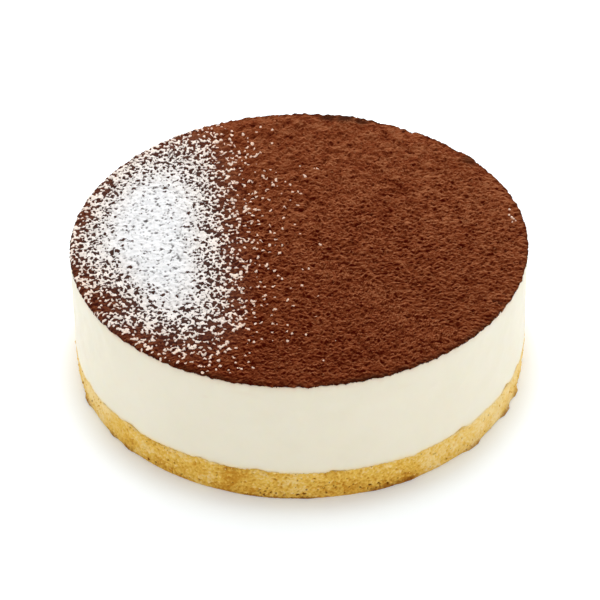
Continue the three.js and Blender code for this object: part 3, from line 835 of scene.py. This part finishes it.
def highest_dome(x, y, radius, longer, lean):
    """Highest of many oval domes over the top, and the parting between the highest and the second.

    A dome is 1 less its squared distance in radii: 1 over its middle, 0 at its edge, and less outside. The
    parting is 1 where both domes are as high, and fades to 0 where they differ by the parting's width.
    """
    column = np.round((x + TOP_HALF) / TOP_STEP).astype(int)
    row = np.round((y + TOP_HALF) / TOP_STEP).astype(int)
    reach = int(CLOT_REACH / TOP_STEP)
    highest = np.full(TOP_SHAPE, -1.0)
    second = highest.copy()
    for down, aside in np.ndindex(2 * reach + 1, 2 * reach + 1):
        near_row = np.clip(row + down - reach, 0, TOP_CELLS - 1)
        near_column = np.clip(column + aside - reach, 0, TOP_CELLS - 1)
        gap_x = top_side[near_column] - x
        gap_y = top_side[near_row] - y
        along = (gap_x * np.cos(lean) + gap_y * np.sin(lean)) / longer
        across = (gap_y * np.cos(lean) - gap_x * np.sin(lean)) * longer
        dome = 1 - (along ** 2 + across ** 2) / radius ** 2
        np.maximum.at(second, (near_row, near_column), np.minimum(dome, highest[near_row, near_column]))
        np.maximum.at(highest, (near_row, near_column), dome)
    return highest, np.clip(1 - (highest - second) / PARTING_WIDTH, 0, 1)


ragged = noise_field(TOP_SHAPE, TOP_STEP, 0.85 * MM, 1.8 * MM, 0.2, seed=22)
cover = sugar_cover(top_x, top_y)
in_heart = ramp(cover, HEART_FROM, HEART_LENGTH)
domes, parting = highest_dome(*clots_found)
far_share = FAR_SIDE * (FAR_SIDE_LEAST + (1 - FAR_SIDE_LEAST) * ramp(cover, 0, FAR_SIDE_COVER))
clots = domes - PARTING * parting * ramp(cover, PARTING_END, PARTING_FADE)
clots = clots + CLOT_RAGGEDNESS * ragged + far_share * far_slope
# Painted shade in the hollows of the heart, a little less in the thickest sugar
sugar_hollow_shade = in_heart * ramp(clots, HOLLOW_FROM, HOLLOW_LENGTH)
sugar_hollow_shade = sugar_hollow_shade * (1 - HOLLOW_LOSS * ramp(cover, LOSS_FROM, LOSS_LENGTH))
excess = clots + HEART_FILL * in_heart
clot_rise = SUGAR_THICKNESS * np.sqrt(np.clip(clots, 0, 1)) * (1 - HEART_SMOOTHING * in_heart)
dip = np.maximum(-SUGAR_DIP, excess * SUGAR_DIP_SLOPE)
sugar_rise = np.where(excess > 0, clot_rise + HEART_THICKNESS * in_heart, dip)
sugar_base = cocoa_relief * (1 - RELIEF_LEVELLED * cover)
print("share of the top under sugar %.3f" % np.mean(excess[np.hypot(top_x, top_y) < CAKE_RADIUS] > 0))

# %% [markdown]
# ## The sugar's meshes
# The sugar is cut from a fine grid: the cells with sugar in them get a top, an underside inside the cocoa and
# walls. Points just outside a fleck are first moved to where the skin comes out of the cocoa, so outlines are
# round and not stepped. Over the rounded rim everything drops with the rim. The thick pad stands for the
# plain solid, and the flecks around it are a second piece.

# %% Sugar meshes
SUGAR_STEP, SUGAR_REACH, SUGAR_ROOT = 0.38 * MM, 100 * MM, 0.35 * MM
SUGAR_LEFT, SUGAR_RIGHT, SUGAR_FRONT, SUGAR_BACK = -100.6 * MM, 10 * MM, -92 * MM, 94 * MM
LONGEST_MOVE = 0.8 * SUGAR_STEP
PAD_COVER = 0.62
# The part of the rim's profile that faces upwards
RIM_UPPER = ((COCOA_FLAT_RADIUS / MM, 0),) + RIM_PROFILE[:5]


def close_corners(cells):
    """Fills one cell wherever two filled cells touch at a corner only, until none do."""
    cells = cells.copy()
    changed = True
    while changed:
        falling = cells[:-1, :-1] & cells[1:, 1:] & ~cells[:-1, 1:] & ~cells[1:, :-1]
        rising = ~cells[:-1, :-1] & ~cells[1:, 1:] & cells[:-1, 1:] & cells[1:, :-1]
        cells[:-1, 1:] |= falling
        cells[:-1, :-1] |= rising
        changed = bool(falling.any() or rising.any())
    return cells


def skin_of_cells(cells, x, y, top, bottom):
    """A closed skin over the chosen cells of a grid: a top, an underside, and a wall wherever a cell ends."""
    number = np.arange(x.size).reshape(x.shape)
    corners = [number[:-1, :-1], number[:-1, 1:], number[1:, 1:], number[1:, :-1]]
    upper = np.stack([corner[cells] for corner in corners], axis=-1)
    under = np.stack([corner[cells] + x.size for corner in corners[::-1]], axis=-1)
    framed = np.pad(cells, 1)
    neighbours = (framed[:-2, 1:-1], framed[1:-1, 2:], framed[2:, 1:-1], framed[1:-1, :-2])
    walls = []
    for side, neighbour in enumerate(neighbours):
        open_side = cells & ~neighbour
        start = corners[side][open_side]
        end = corners[(side + 1) % 4][open_side]
        walls.append(np.stack([start + x.size, end + x.size, end, start], axis=-1))
    points = np.concatenate([np.stack([x, y, z], axis=-1).reshape(-1, 3) for z in (top, bottom)])
    used, compact = np.unique(np.concatenate([upper, under] + walls), return_inverse=True)
    return points[used], compact.reshape(-1, 4)


def rim_drop(x, y):
    """How far the rounded rim lies below the flat top: its profile read at a distance from the middle."""
    turn = np.arctan2(x, -y)
    radii, shares = np.transpose(RIM_UPPER)
    return np.interp(np.hypot(x, y) / MM, radii, shares) * (rim_top_level(turn) - lip_level(turn))


sugar_x, sugar_y = np.meshgrid(
    np.arange(SUGAR_LEFT, SUGAR_RIGHT, SUGAR_STEP), np.arange(SUGAR_FRONT, SUGAR_BACK, SUGAR_STEP),
)
over = field_at(excess, sugar_x, sugar_y)
covered = (over > 0) & (np.hypot(sugar_x, sugar_y) < SUGAR_REACH)
sugar_cells = covered[:-1, :-1] | covered[1:, :-1] | covered[:-1, 1:] | covered[1:, 1:]
slope_y, slope_x = (field_at(slope, sugar_x, sugar_y) for slope in np.gradient(excess, TOP_STEP))
steepness = np.maximum(np.hypot(slope_x, slope_y), 1e-6)
move = np.where(over > 0, 0, np.minimum(-over / steepness, LONGEST_MOVE))
sugar_x = sugar_x + move * slope_x / steepness
sugar_y = sugar_y + move * slope_y / steepness
top_level = COCOA_TOP - rim_drop(sugar_x, sugar_y)
base = top_level + field_at(sugar_base, sugar_x, sugar_y)
root = np.minimum(base, top_level + field_at(cocoa_relief, sugar_x, sugar_y)) - SUGAR_ROOT
skin = base + field_at(sugar_rise, sugar_x, sugar_y)
in_pad = sugar_cover(sugar_x[:-1, :-1], sugar_y[:-1, :-1]) > PAD_COVER
for label, chosen, node in (
    ("icing_sugar_pad", sugar_cells & in_pad, "icing_sugar"),
    ("icing_sugar_flecks", sugar_cells & ~in_pad, "cocoa_top"),
):
    sugar_points, sugar_faces = skin_of_cells(close_corners(chosen), sugar_x, sugar_y, skin, root)
    sugar = new_piece(label, sugar_points, [sugar_faces], icing_powder, {
        "thick": sugar_cover(sugar_points[:, 0], sugar_points[:, 1]),
        "hollow_shade": field_at(sugar_hollow_shade, sugar_points[:, 0], sugar_points[:, 1]),
    })
    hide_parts(node)

# %% [markdown]
# ## Loose sugar
# Between the flecks lie single grains and specks, which carry the sugar's edge a little further. They are
# drawn at random and kept with a chance that follows the cover. A pinch of larger ones has strayed to the
# right rim.

# %% Sugar grains
GRAIN_DRAWS, GRAIN_CHANCE, GRAIN_CHANCE_POWER = 30000, 0.05, 0.8
# Sizes in millimetres, and how far a grain stands out as a share of its size
GRAIN_SIZES, GRAIN_LIFT = (0.22, 0.45), 0.3
STRAY_GRAINS, STRAY_SWELL = 6, 1.7
STRAY_PLACE, STRAY_SPREAD = (95.2 * MM, 15.5 * MM), (0.8 * MM, 3 * MM)
random = np.random.default_rng(31)
grain_x, grain_y = scatter_on_disc(random, SUGAR_REACH, GRAIN_DRAWS)
grain_chance = GRAIN_CHANCE * sugar_cover(grain_x, grain_y) ** GRAIN_CHANCE_POWER
kept = random.uniform(0, 1, GRAIN_DRAWS) < grain_chance
stray_x, stray_y = random.normal(STRAY_PLACE, STRAY_SPREAD, (STRAY_GRAINS, 2)).T
grain_x = np.append(grain_x[kept], stray_x)
grain_y = np.append(grain_y[kept], stray_y)
grain_size = random.uniform(*GRAIN_SIZES, grain_x.size) * MM
grain_size[-STRAY_GRAINS:] *= STRAY_SWELL
grain_z = COCOA_TOP + field_at(sugar_base, grain_x, grain_y) - rim_drop(grain_x, grain_y)
grain_z = grain_z + np.maximum(0, field_at(sugar_rise, grain_x, grain_y)) + GRAIN_LIFT * grain_size
grain_points, grain_faces = crumb_mesh(grain_x, grain_y, grain_z, grain_size, seed=32)
sugar_grains = new_piece("icing_sugar_grains", grain_points, [grain_faces], icing_powder, {
    "thick": sugar_cover(grain_points[:, 0], grain_points[:, 1]), "hollow_shade": np.zeros(len(grain_points)),
})

# %% [markdown]
# ## The cream
# The cream's side is a cylinder with the faint unevenness of a hand-filled ring: a grid of turns and heights,
# pushed in and out by less than half a millimetre. Its foot follows the torn edge of the sponge and is nearly
# flush with it. Its upper edge ends just under the cocoa's lip, a little further in at the back, and its cap
# stays below the deepest dents of the cocoa.

# %% Cream mesh
CREAM_TURNS, CREAM_ROWS, CREAM_NOISE_ROWS = 900, 72, 128
CREAM_TUCK, CREAM_FOOT_ROUNDING, CREAM_HEAD_ROUNDING = 0.5 * MM, 0.12 * MM, 1.0 * MM
CREAM_UNEVENNESS, CREAM_RIPPLE = 0.1 * MM, 0.012 * MM
# How far the side goes in below the lip at the back, and over which height
BACK_INSET, BACK_INSET_HEIGHT = 0.35 * MM, 1.5 * MM
# Gaps between the lip and the side's head, and between the lip or the top and the hidden cap
LIP_GAP, CAP_BELOW_LIP, CAP_BELOW_TOP = 0.04 * MM, 0.3 * MM, 0.8 * MM
CAP_RADIUS = CAKE_RADIUS - 1.6 * MM


def side_noise(shape, shortest, longest, slope, seed):
    """A noise field wrapped around the side, rows by turns, with wavelengths in millimetres."""
    step = 2 * np.pi * CAKE_RADIUS / shape[1]
    return noise_field(shape, step, shortest * MM, longest * MM, slope, seed)


cream_shape = (CREAM_NOISE_ROWS, CREAM_TURNS)
side_turn = np.linspace(0, 2 * np.pi, CREAM_TURNS, endpoint=False)[None, :]
side_level = np.append(np.linspace(0, 1, CREAM_ROWS - 1), 1)[:, None]
cream_foot = sponge_edge(side_turn) - CREAM_TUCK
cream_head = lip_level(side_turn) - LIP_GAP
cream_z = cream_foot + side_level * (cream_head - cream_foot)
cream_r = CAKE_RADIUS + CREAM_UNEVENNESS * side_noise(cream_shape, 6, 40, 1, 41)[:CREAM_ROWS]
cream_r = cream_r + CREAM_RIPPLE * side_noise(cream_shape, 2, 6, 0.5, 42)[:CREAM_ROWS]
cream_r = cream_r - BACK_INSET * at_back(side_turn) * np.exp((cream_z - cream_head) / BACK_INSET_HEIGHT)
cream_r[0] -= CREAM_FOOT_ROUNDING
cream_r[-1] -= CREAM_HEAD_ROUNDING
cap_z = np.minimum(CREAM_TOP - CAP_BELOW_TOP, lip_level(side_turn) - CAP_BELOW_LIP)
cream_r = np.concatenate([cream_r, np.full_like(cap_z, CAP_RADIUS)])
cream_z = np.concatenate([cream_z, cap_z])
cream_points, cream_faces = round_mesh(
    cream_r, side_turn, cream_z, SPONGE_HEIGHT - CREAM_TUCK, CREAM_TOP - CAP_BELOW_TOP,
)
print("cream from %.1f to %.1f mm across" % (2 * cream_r[:-2].min() / MM, 2 * cream_r.max() / MM))

# %% [markdown]
# ### Tints of the cream
# Powder has bled into the cream under the lip, in blotches, and touched it here and there. Just above the
# sponge it has taken up some yellow. Each tint is an exponential fall from its edge, or a sum of soft spots.

# %% Cream tints
# Strength and reach in millimetres of the tints below the lip and above the sponge
STAIN, STAIN_REACH, SOAK, SOAK_REACH = 0.45, 1.5, 0.75, 0.8
# Share of the stain that is there without a blotch
STAIN_LEAST = 0.6
# Turn and half width in degrees, height and half height in millimetres, and strength of faint cocoa smudges
CREAM_SMUDGES = (
    (-42.5, 0.8, 46, 1.2, 0.07), (-23.5, 0.9, 51, 0.8, 0.07), (-14, 3, 57, 1.0, 0.04), (26, 2, 54, 0.8, 0.04),
    (120, 1.5, 50, 1.0, 0.06), (215, 1.2, 44, 1.2, 0.06),
)


def side_spots(turn, height, spots):
    """Sum of oval spots on the side, each a hump over turns times a bell over heights, times its strength."""
    return sum(
        strength * turn_hump(turn, place, half) * np.exp(-(((height - middle) / reach) ** 2))
        for place, half, middle, reach, strength in spots
    )


below_lip = np.maximum((lip_level(side_turn) - cream_z) / MM, 0)
above_sponge = np.maximum((cream_z - sponge_edge(side_turn)) / MM, 0)
blotch = np.clip(0.5 + 0.5 * side_noise(cream_shape, 2, 12, 0.5, 43)[:CREAM_ROWS + 1], 0, 1)
cream_stain = STAIN * np.exp(-below_lip / STAIN_REACH) * (STAIN_LEAST + (1 - STAIN_LEAST) * blotch)
cream_stain = cream_stain + side_spots(side_turn, cream_z / MM, CREAM_SMUDGES)
cream_soak = SOAK * np.exp(-above_sponge / SOAK_REACH)
cream = new_piece("cream_layer_set", cream_points, cream_faces, set_cream, {
    "stain": np.append(cream_stain, [0, 0]), "soak": np.append(cream_soak, [0, 0]),
})
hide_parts("cream_layer")

# %% [markdown]
# ## The sponge
# The slab's side leans in towards its foot, and its upper edge is drawn in a little under the cream. It is a
# grid of turns and levels: the radius is the plain model's leaning side, plus the bulge below each tooth,
# plus a crumb relief, minus the pores. Pores are the peaks of a noise field above a threshold, so they are of
# the size that was asked for, and the threshold is lower where the crumb is more open. At the foot a few
# flakes of the brown bottom skin stand out.

# %% Sponge pores and flakes
SPONGE_TURNS, SPONGE_ROWS, SPONGE_NOISE_ROWS = 1440, 38, 96
# Turn and half width in degrees, and share, of the stretches where the knife smeared the crumb
SMEARS = ((62, 26, 0.9), (-66, 15, 0.95), (150, 40, 0.6))
# Turn and half width in degrees, level and half height as shares of the slab, and openness of the open crumb
OPEN_CRUMB = (
    (-9, 5, 0.2, 0.25, 1.0), (0.5, 3, 0.15, 0.15, 1.0), (4.5, 2.5, 0.45, 0.3, 0.6), (20, 5, 0.12, 0.2, 1.0),
    (28, 3, 0.05, 0.12, 0.9), (-19, 4, 0.2, 0.25, 0.6), (12, 12, 0.4, 0.4, 0.4), (-45, 12, 0.3, 0.3, 0.35),
    (110, 20, 0.3, 0.4, 0.7), (180, 30, 0.2, 0.3, 0.9), (250, 20, 0.3, 0.4, 0.7),
)
# Threshold of the pores, its drop in open crumb, how steep they are, and the share lost in a smear
PORE_FROM, PORE_OPENING, PORE_STEEPNESS, PORE_SMEARED = 2.5, 1.6, 1.5, 0.7
# Turn and half width in degrees, height and flare in millimetres, and brownness of the flakes at the foot
FOOT_FLAKES = (
    (-71, 2.2, 2.2, 1.0, 0.9), (-56, 1.4, 1.6, 0.6, 0.8), (-49, 1.6, 1.6, 0.7, 0.8), (-10, 5, 1.2, 0.2, 0.8),
    (1, 1.6, 1.6, 0.3, 0.8), (20, 3.0, 2.0, 0.6, 0.9), (27, 2.5, 2.4, 0.6, 1.0), (48.5, 2.8, 1.1, 1.3, 0.75),
    (64.5, 2.4, 1.2, 1.5, 0.75), (72.5, 2.0, 1.2, 1.4, 0.75), (95, 2.5, 1.6, 1.2, 0.9),
    (128, 3, 1.8, 1.3, 0.9), (170, 3, 1.6, 1.0, 0.8), (206, 2.5, 1.6, 1.2, 0.9), (240, 3, 1.8, 1.3, 0.9),
    (266, 2, 1.6, 1.0, 0.8),
)


def foot_flake(place, half, height):
    """Share of a flake: a hump over turns with a flat top, whole below its middle height, fading above."""
    wide = np.minimum(1, 1.5 * turn_hump(turn, place, half))
    return wide * np.clip(2 - 2 * side_z / (height * MM), 0, 1)


sponge_shape = (SPONGE_NOISE_ROWS, SPONGE_TURNS)
turn = np.linspace(0, 2 * np.pi, SPONGE_TURNS, endpoint=False)[None, :]
level = np.linspace(0, 1, SPONGE_ROWS)[:, None]
edge = sponge_edge(turn)
side_z = level * edge
smeared = np.clip(sum(share * turn_hump(turn, place, half) for place, half, share in SMEARS), 0, 1)
openness = np.clip(side_spots(turn, level, OPEN_CRUMB), 0, 1)
pores = side_noise(sponge_shape, 1.6, 4, 0.3, 51)[:SPONGE_ROWS] - PORE_FROM + PORE_OPENING * openness
pore_depth = np.clip(pores * PORE_STEEPNESS, 0, 1) * (1 - PORE_SMEARED * smeared)
flakes = [(foot_flake(*spot), flare * MM, brown) for *spot, flare, brown in FOOT_FLAKES]
print("share of the side that is pore %.3f" % np.mean(pore_depth > 0))

# %% Sponge mesh
TOOTH_BULGE = 0.45
SPONGE_SIDE_LEVELS = (0, 0.08, 0.32, 0.56, 0.8, 0.98, 1)
SPONGE_SIDE_RADII = (98.65, 98.95, 99.2, 99.5, 99.85, 99.9, 99.75)
# Relief in millimetres of crumb, heaves and pores, and the share of the crumb's that a smear takes away
CRUMB_RELIEF, HEAVE_RELIEF, PORE_RELIEF, CRUMB_SMEARED = 0.24, 0.12, 0.25, 0.5
# Share of the relief at the very foot, and the height over which it grows
FOOT_RELIEF, FOOT_RELIEF_HEIGHT = 0.25, 2 * MM
SPONGE_TOP_RADIUS, SPONGE_BOTTOM_RADIUS = CAKE_RADIUS - 1.2 * MM, CAKE_RADIUS - 3.2 * MM
crumb = side_noise(sponge_shape, 1.2, 5, 0.5, 52)[:SPONGE_ROWS]
heave = side_noise(sponge_shape, 6, 30, 1, 53)[:SPONGE_ROWS]
relief = CRUMB_RELIEF * crumb * (1 - CRUMB_SMEARED * smeared)
relief = relief + HEAVE_RELIEF * heave - PORE_RELIEF * pore_depth
sponge_r = np.interp(level, SPONGE_SIDE_LEVELS, SPONGE_SIDE_RADII) * MM
sponge_r = sponge_r + TOOTH_BULGE * level * np.maximum(0, torn_teeth(turn))
sponge_r = sponge_r + MM * np.clip(FOOT_RELIEF + side_z / FOOT_RELIEF_HEIGHT, 0, 1) * relief
sponge_r = sponge_r + sum(share * flare for share, flare, brown in flakes)
bottom_r = np.full_like(turn, SPONGE_BOTTOM_RADIUS)
top_r = np.full_like(turn, SPONGE_TOP_RADIUS)
sponge_r = np.concatenate([bottom_r, sponge_r, top_r])
sponge_z = np.concatenate([np.zeros_like(turn), side_z, edge])
sponge_points, sponge_faces = round_mesh(sponge_r, turn, sponge_z, 0, SPONGE_HEIGHT)
print("foot of the sponge up to %.1f mm across" % (2 * sponge_r[1].max() / MM))

# %% [markdown]
# ### Colouring of the sponge
# Brown skin is left along some of the upper edge and on the flakes. A faint line at the foot is brown skin
# and painted contact shade. The crumb is paler where it is smeared and towards the top, and mottled
# elsewhere, with a few lighter and darker patches.

# %% Sponge colouring
# Turn and half width in degrees, 0 and depth in millimetres below the edge, and brownness of the upper skin
UPPER_SKIN = (
    (-14, 7, 0, 3.5, 0.45), (8, 2.5, 0, 1.5, 0.5), (-38, 9, 0, 1.8, 0.4), (44, 2.5, 0, 1.2, 0.5),
    (-60, 6, 0, 1.2, 0.35), (65, 3, 0, 1.2, 0.4), (105, 12, 0, 2.0, 0.45), (160, 20, 0, 2.5, 0.45),
    (230, 20, 0, 2.5, 0.45),
)
# Turn and half width in degrees, level and half height as shares of the slab, and change of tone of patches
TONE_PATCHES = (
    (-51, 7, 0.6, 0.6, -0.1), (-18.5, 2.2, 0.5, 0.6, -0.4), (-15, 3, 0.75, 0.3, -0.25),
    (-13, 2.5, 0.1, 0.2, -0.3), (-3, 3, 0.6, 0.4, 0.12), (8.5, 2.2, 0.6, 0.4, -0.2), (14, 4, 0.4, 0.4, -0.25),
    (21, 2.5, 0.3, 0.3, -0.2), (-23, 2.5, 0.5, 0.5, 0.15), (27.5, 2, 0.1, 0.2, -0.35),
    (33, 3.5, 0.5, 0.5, 0.02), (40, 6, 0.5, 0.6, 0.06),
)
# Strength and height of the darker line at the foot: brown skin and painted contact shade
FOOT_LINE_AND_SHADE, FOOT_LINE_AND_SHADE_HEIGHT = 0.26, 2 * MM
BROWN_MIDDLE, BROWN_SPREAD = 0.6, 0.5
# Brownness of the flakes, and the share of it that doesn't vary
FLAKE_BROWN, FLAKE_LEAST = 0.85, 0.6
PALE_MIDDLE, PALE_SMEARED, PALE_UPWARDS = 0.44, 0.45, 0.2
# How much crumb, mottle and heaves change the tone, and the share of the first two lost in a smear
CRUMB_TONE, MOTTLE_TONE, HEAVE_TONE, TONE_SMEARED = 0.13, 0.08, 0.07, 0.6
# Strength of the painted shade in the pores, and the crust and tone of the hidden caps
PORE_DARKNESS, CAP_CRUST, CAP_PALE = 1.4, 0.2, 0.5


def with_caps(values, fill):
    """Values of the side's grid with the rows and centres of the caps added, all at one fill value."""
    row = np.full((1, SPONGE_TURNS), fill)
    return np.append(np.concatenate([row, values, row]), [fill, fill])


browned = BROWN_MIDDLE + BROWN_SPREAD * side_noise(sponge_shape, 1.5, 9, 0.6, 54)[:SPONGE_ROWS]
browned = np.clip(browned, 0, 1)
upper_skin = side_spots(turn, (edge - side_z) / MM, UPPER_SKIN)
# Brown skin and painted contact shade along the foot
foot_line_and_shade = FOOT_LINE_AND_SHADE * np.exp(-side_z / FOOT_LINE_AND_SHADE_HEIGHT)
foot_skin = FLAKE_BROWN * sum(np.sqrt(share) * brown for share, flare, brown in flakes)
crust_and_shade_value = (upper_skin + foot_line_and_shade) * browned + foot_skin * (FLAKE_LEAST + (1 - FLAKE_LEAST) * browned)
mottle = CRUMB_TONE * crumb + MOTTLE_TONE * side_noise(sponge_shape, 3, 12, 0.5, 55)[:SPONGE_ROWS]
pale_value = PALE_MIDDLE + PALE_SMEARED * smeared + mottle * (1 - TONE_SMEARED * smeared) + HEAVE_TONE * heave
pale_value = pale_value + PALE_UPWARDS * (level - 0.5) + side_spots(turn, level, TONE_PATCHES)
sponge = new_piece("sponge_base_crumb", sponge_points, sponge_faces, baked_sponge, {
    "pore": with_caps(np.clip(pore_depth * PORE_DARKNESS, 0, 1), 0),
    "crust_and_foot_shade": with_caps(np.clip(crust_and_shade_value, 0, 1), CAP_CRUST),
    "pale": with_caps(pale_value, CAP_PALE),
})
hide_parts("sponge_base")

# %% [markdown]
# ## Loose sponge crumbs
# A cut sponge sheds crumbs. They cling to the side and lie along the foot, some of them brown bits of skin.

# %% Sponge crumbs
BITS, BIT_SIZES, BIT_LEVELS, BIT_LIFT = 520, (0.2, 0.5), (0.03, 0.97), 0.15
BROWN_CHANCE, BROWN_BIT, BIT_PALE = 0.15, 0.7, (0.1, 0.8)
random = np.random.default_rng(61)
bit_turn = random.uniform(0, 2 * np.pi, BITS)
bit_level = random.uniform(*BIT_LEVELS, BITS)
bit_size = random.uniform(*BIT_SIZES, BITS) * MM
bit_r = np.interp(bit_level, SPONGE_SIDE_LEVELS, SPONGE_SIDE_RADII) * MM + BIT_LIFT * bit_size
bit_z = np.maximum(bit_level * sponge_edge(bit_turn), bit_size)
bit_points, bit_faces = crumb_mesh(*around(bit_r, bit_turn), bit_z, bit_size, seed=62)
bit_brown = np.where(random.uniform(0, 1, BITS) < BROWN_CHANCE, BROWN_BIT, 0.0)
bit_pale = random.uniform(*BIT_PALE, BITS)
sponge_crumbs = new_piece("sponge_crumbs", bit_points, [bit_faces], baked_sponge, {
    "pore": np.zeros(len(bit_points)), "crust_and_foot_shade": np.repeat(bit_brown, CRUMB_CORNERS),
    "pale": np.repeat(bit_pale, CRUMB_CORNERS),
})

# %% [markdown]
# ## Floor
# A matt white acrylic table that glows a little, as if lit from below, so bright that only the soft shadow at
# the cake's foot shows on it. Near the foot its glow is dimmed, which is a painted contact shadow.

# %% Floor
FLOOR_HALF = 3.0
FLOOR_WHITE, FLOOR_TONE, FLOOR_CLOUD = "#f4faff", "#f1f8fd", 60 * MM
# Glow of the floor, and its dimmer glow in the painted contact shadow at the cake's foot, which fades out
# between two distances from the middle
FLOOR_GLOW, FLOOR_GLOW_IN_PAINTED_SHADOW = 0.2, 0.09
PAINTED_SHADOW_FADES_FROM, PAINTED_SHADOW_GONE_AT = 101 * MM, 115 * MM

glowing_acrylic, tree, shader, place = new_material(
    "matt_white_acrylic_painted_shadow", (), Roughness=0.9, Specular_IOR_Level=0.1, Emission_Color=(1, 1, 1, 1),
)
cloud = add_node(tree, "ShaderNodeTexNoise", {"Vector": place, "Scale": 1 / FLOOR_CLOUD, "Detail": 2.0})
mix = {MIX_SHARE: cloud.outputs["Fac"], MIX_FIRST: linear(FLOOR_TONE), MIX_SECOND: linear(FLOOR_WHITE)}
acrylic = add_node(tree, "ShaderNodeMix", mix, data_type="RGBA").outputs[MIX_OUT]
from_cake = add_node(tree, "ShaderNodeVectorMath", {0: place}, operation="LENGTH").outputs["Value"]
# Painted contact shadow: the glow is dimmed near the cake's foot
glow_with_painted_shadow = add_node(tree, "ShaderNodeMapRange", {
    "Value": from_cake, "From Min": PAINTED_SHADOW_FADES_FROM, "From Max": PAINTED_SHADOW_GONE_AT,
    "To Min": FLOOR_GLOW_IN_PAINTED_SHADOW, "To Max": FLOOR_GLOW,
}, interpolation_type="SMOOTHSTEP")
tree.links.new(acrylic, shader.inputs["Base Color"])
tree.links.new(glow_with_painted_shadow.outputs["Result"], shader.inputs["Emission Strength"])
floor_mesh = bpy.data.meshes.new("floor")
corner_signs = ((-1, -1), (1, -1), (1, 1), (-1, 1))
floor_mesh.from_pydata([(FLOOR_HALF * x, FLOOR_HALF * y, 0) for x, y in corner_signs], [], [(0, 1, 2, 3)])
floor_mesh.materials.append(glowing_acrylic)
floor = bpy.data.objects.new("floor", floor_mesh)
bpy.context.scene.collection.objects.link(floor)
print("floor %.0f m across" % (2 * FLOOR_HALF))

# %% [markdown]
# ## Light
# Soft light from everywhere, a soft box overhead, and a lower one behind the cake, so that the lumps of cocoa
# show light on their far side and dark on the near one. The sides get a little more light than the front.

# %% Lights
WORLD_STRENGTH = 0.65
LAMP_AIM = Vector((0, 0, 0.04))
# Name, place, width and height in metres, and watts of each rectangular lamp
SOFT_BOXES = (
    ("soft_box_back", (0, 0.62, 0.33), 1.0, 0.3, 3.44),
    ("soft_box_overhead", (0, 0.24, 1.37), 1.0, 0.6, 5.4),
    ("soft_box_left", (-1.3, 0, 0.6), 0.9, 0.9, 1.5),
    ("soft_box_right", (1.15, -0.6, 0.6), 0.9, 0.9, 2.0),
)
for name, place, width, height, watts in SOFT_BOXES:
    lamp = bpy.data.lights.new(name, "AREA")
    lamp.shape = "RECTANGLE"
    lamp.size = width
    lamp.size_y = height
    lamp.energy = watts
    holder = bpy.data.objects.new(name, lamp)
    holder.location = place
    holder.rotation_euler = (LAMP_AIM - Vector(place)).to_track_quat("-Z", "Y").to_euler()
    holder.visible_camera = False
    bpy.context.scene.collection.objects.link(holder)
world = bpy.data.worlds.new("soft_white_room")
world.use_nodes = True
world.node_tree.nodes["Background"].inputs["Color"].default_value = (1, 1, 1, 1)
world.node_tree.nodes["Background"].inputs["Strength"].default_value = WORLD_STRENGTH
bpy.context.scene.world = world
bpy.context.scene.view_settings.view_transform = "Standard"
print("%d soft boxes" % len(SOFT_BOXES))

# %% [markdown]
# ## Camera
# The photograph was taken from well back with a long lens, looking down by about 38 degrees, and tipped to
# one side by less than a degree.

# %% Camera
CAMERA_AIM = Vector((0.0002, 0.00015, 0.0302))
CAMERA_ELEVATION, CAMERA_ROLL = math.radians(37.77), math.radians(-0.667)
CAMERA_DISTANCE = 1.430
# Focal length and sensor in millimetres, as Blender keeps them
CAMERA_LENS, CAMERA_SENSOR = 193.32, 36
camera_data = bpy.data.cameras.new("camera")
camera_data.lens = CAMERA_LENS
camera_data.sensor_width = CAMERA_SENSOR
camera = bpy.data.objects.new("camera", camera_data)
bpy.context.scene.collection.objects.link(camera)
back = Vector((0, -math.cos(CAMERA_ELEVATION), math.sin(CAMERA_ELEVATION)))
right = Vector((1, 0, 0))
up = back.cross(right)
rolled_right = math.cos(CAMERA_ROLL) * right + math.sin(CAMERA_ROLL) * up
rolled_up = math.cos(CAMERA_ROLL) * up - math.sin(CAMERA_ROLL) * right
turned = Matrix((rolled_right, rolled_up, back)).transposed().to_4x4()
camera.matrix_world = Matrix.Translation(CAMERA_AIM + CAMERA_DISTANCE * back) @ turned
bpy.context.scene.camera = camera
print("camera at", [round(side, 3) for side in camera.matrix_world.translation])
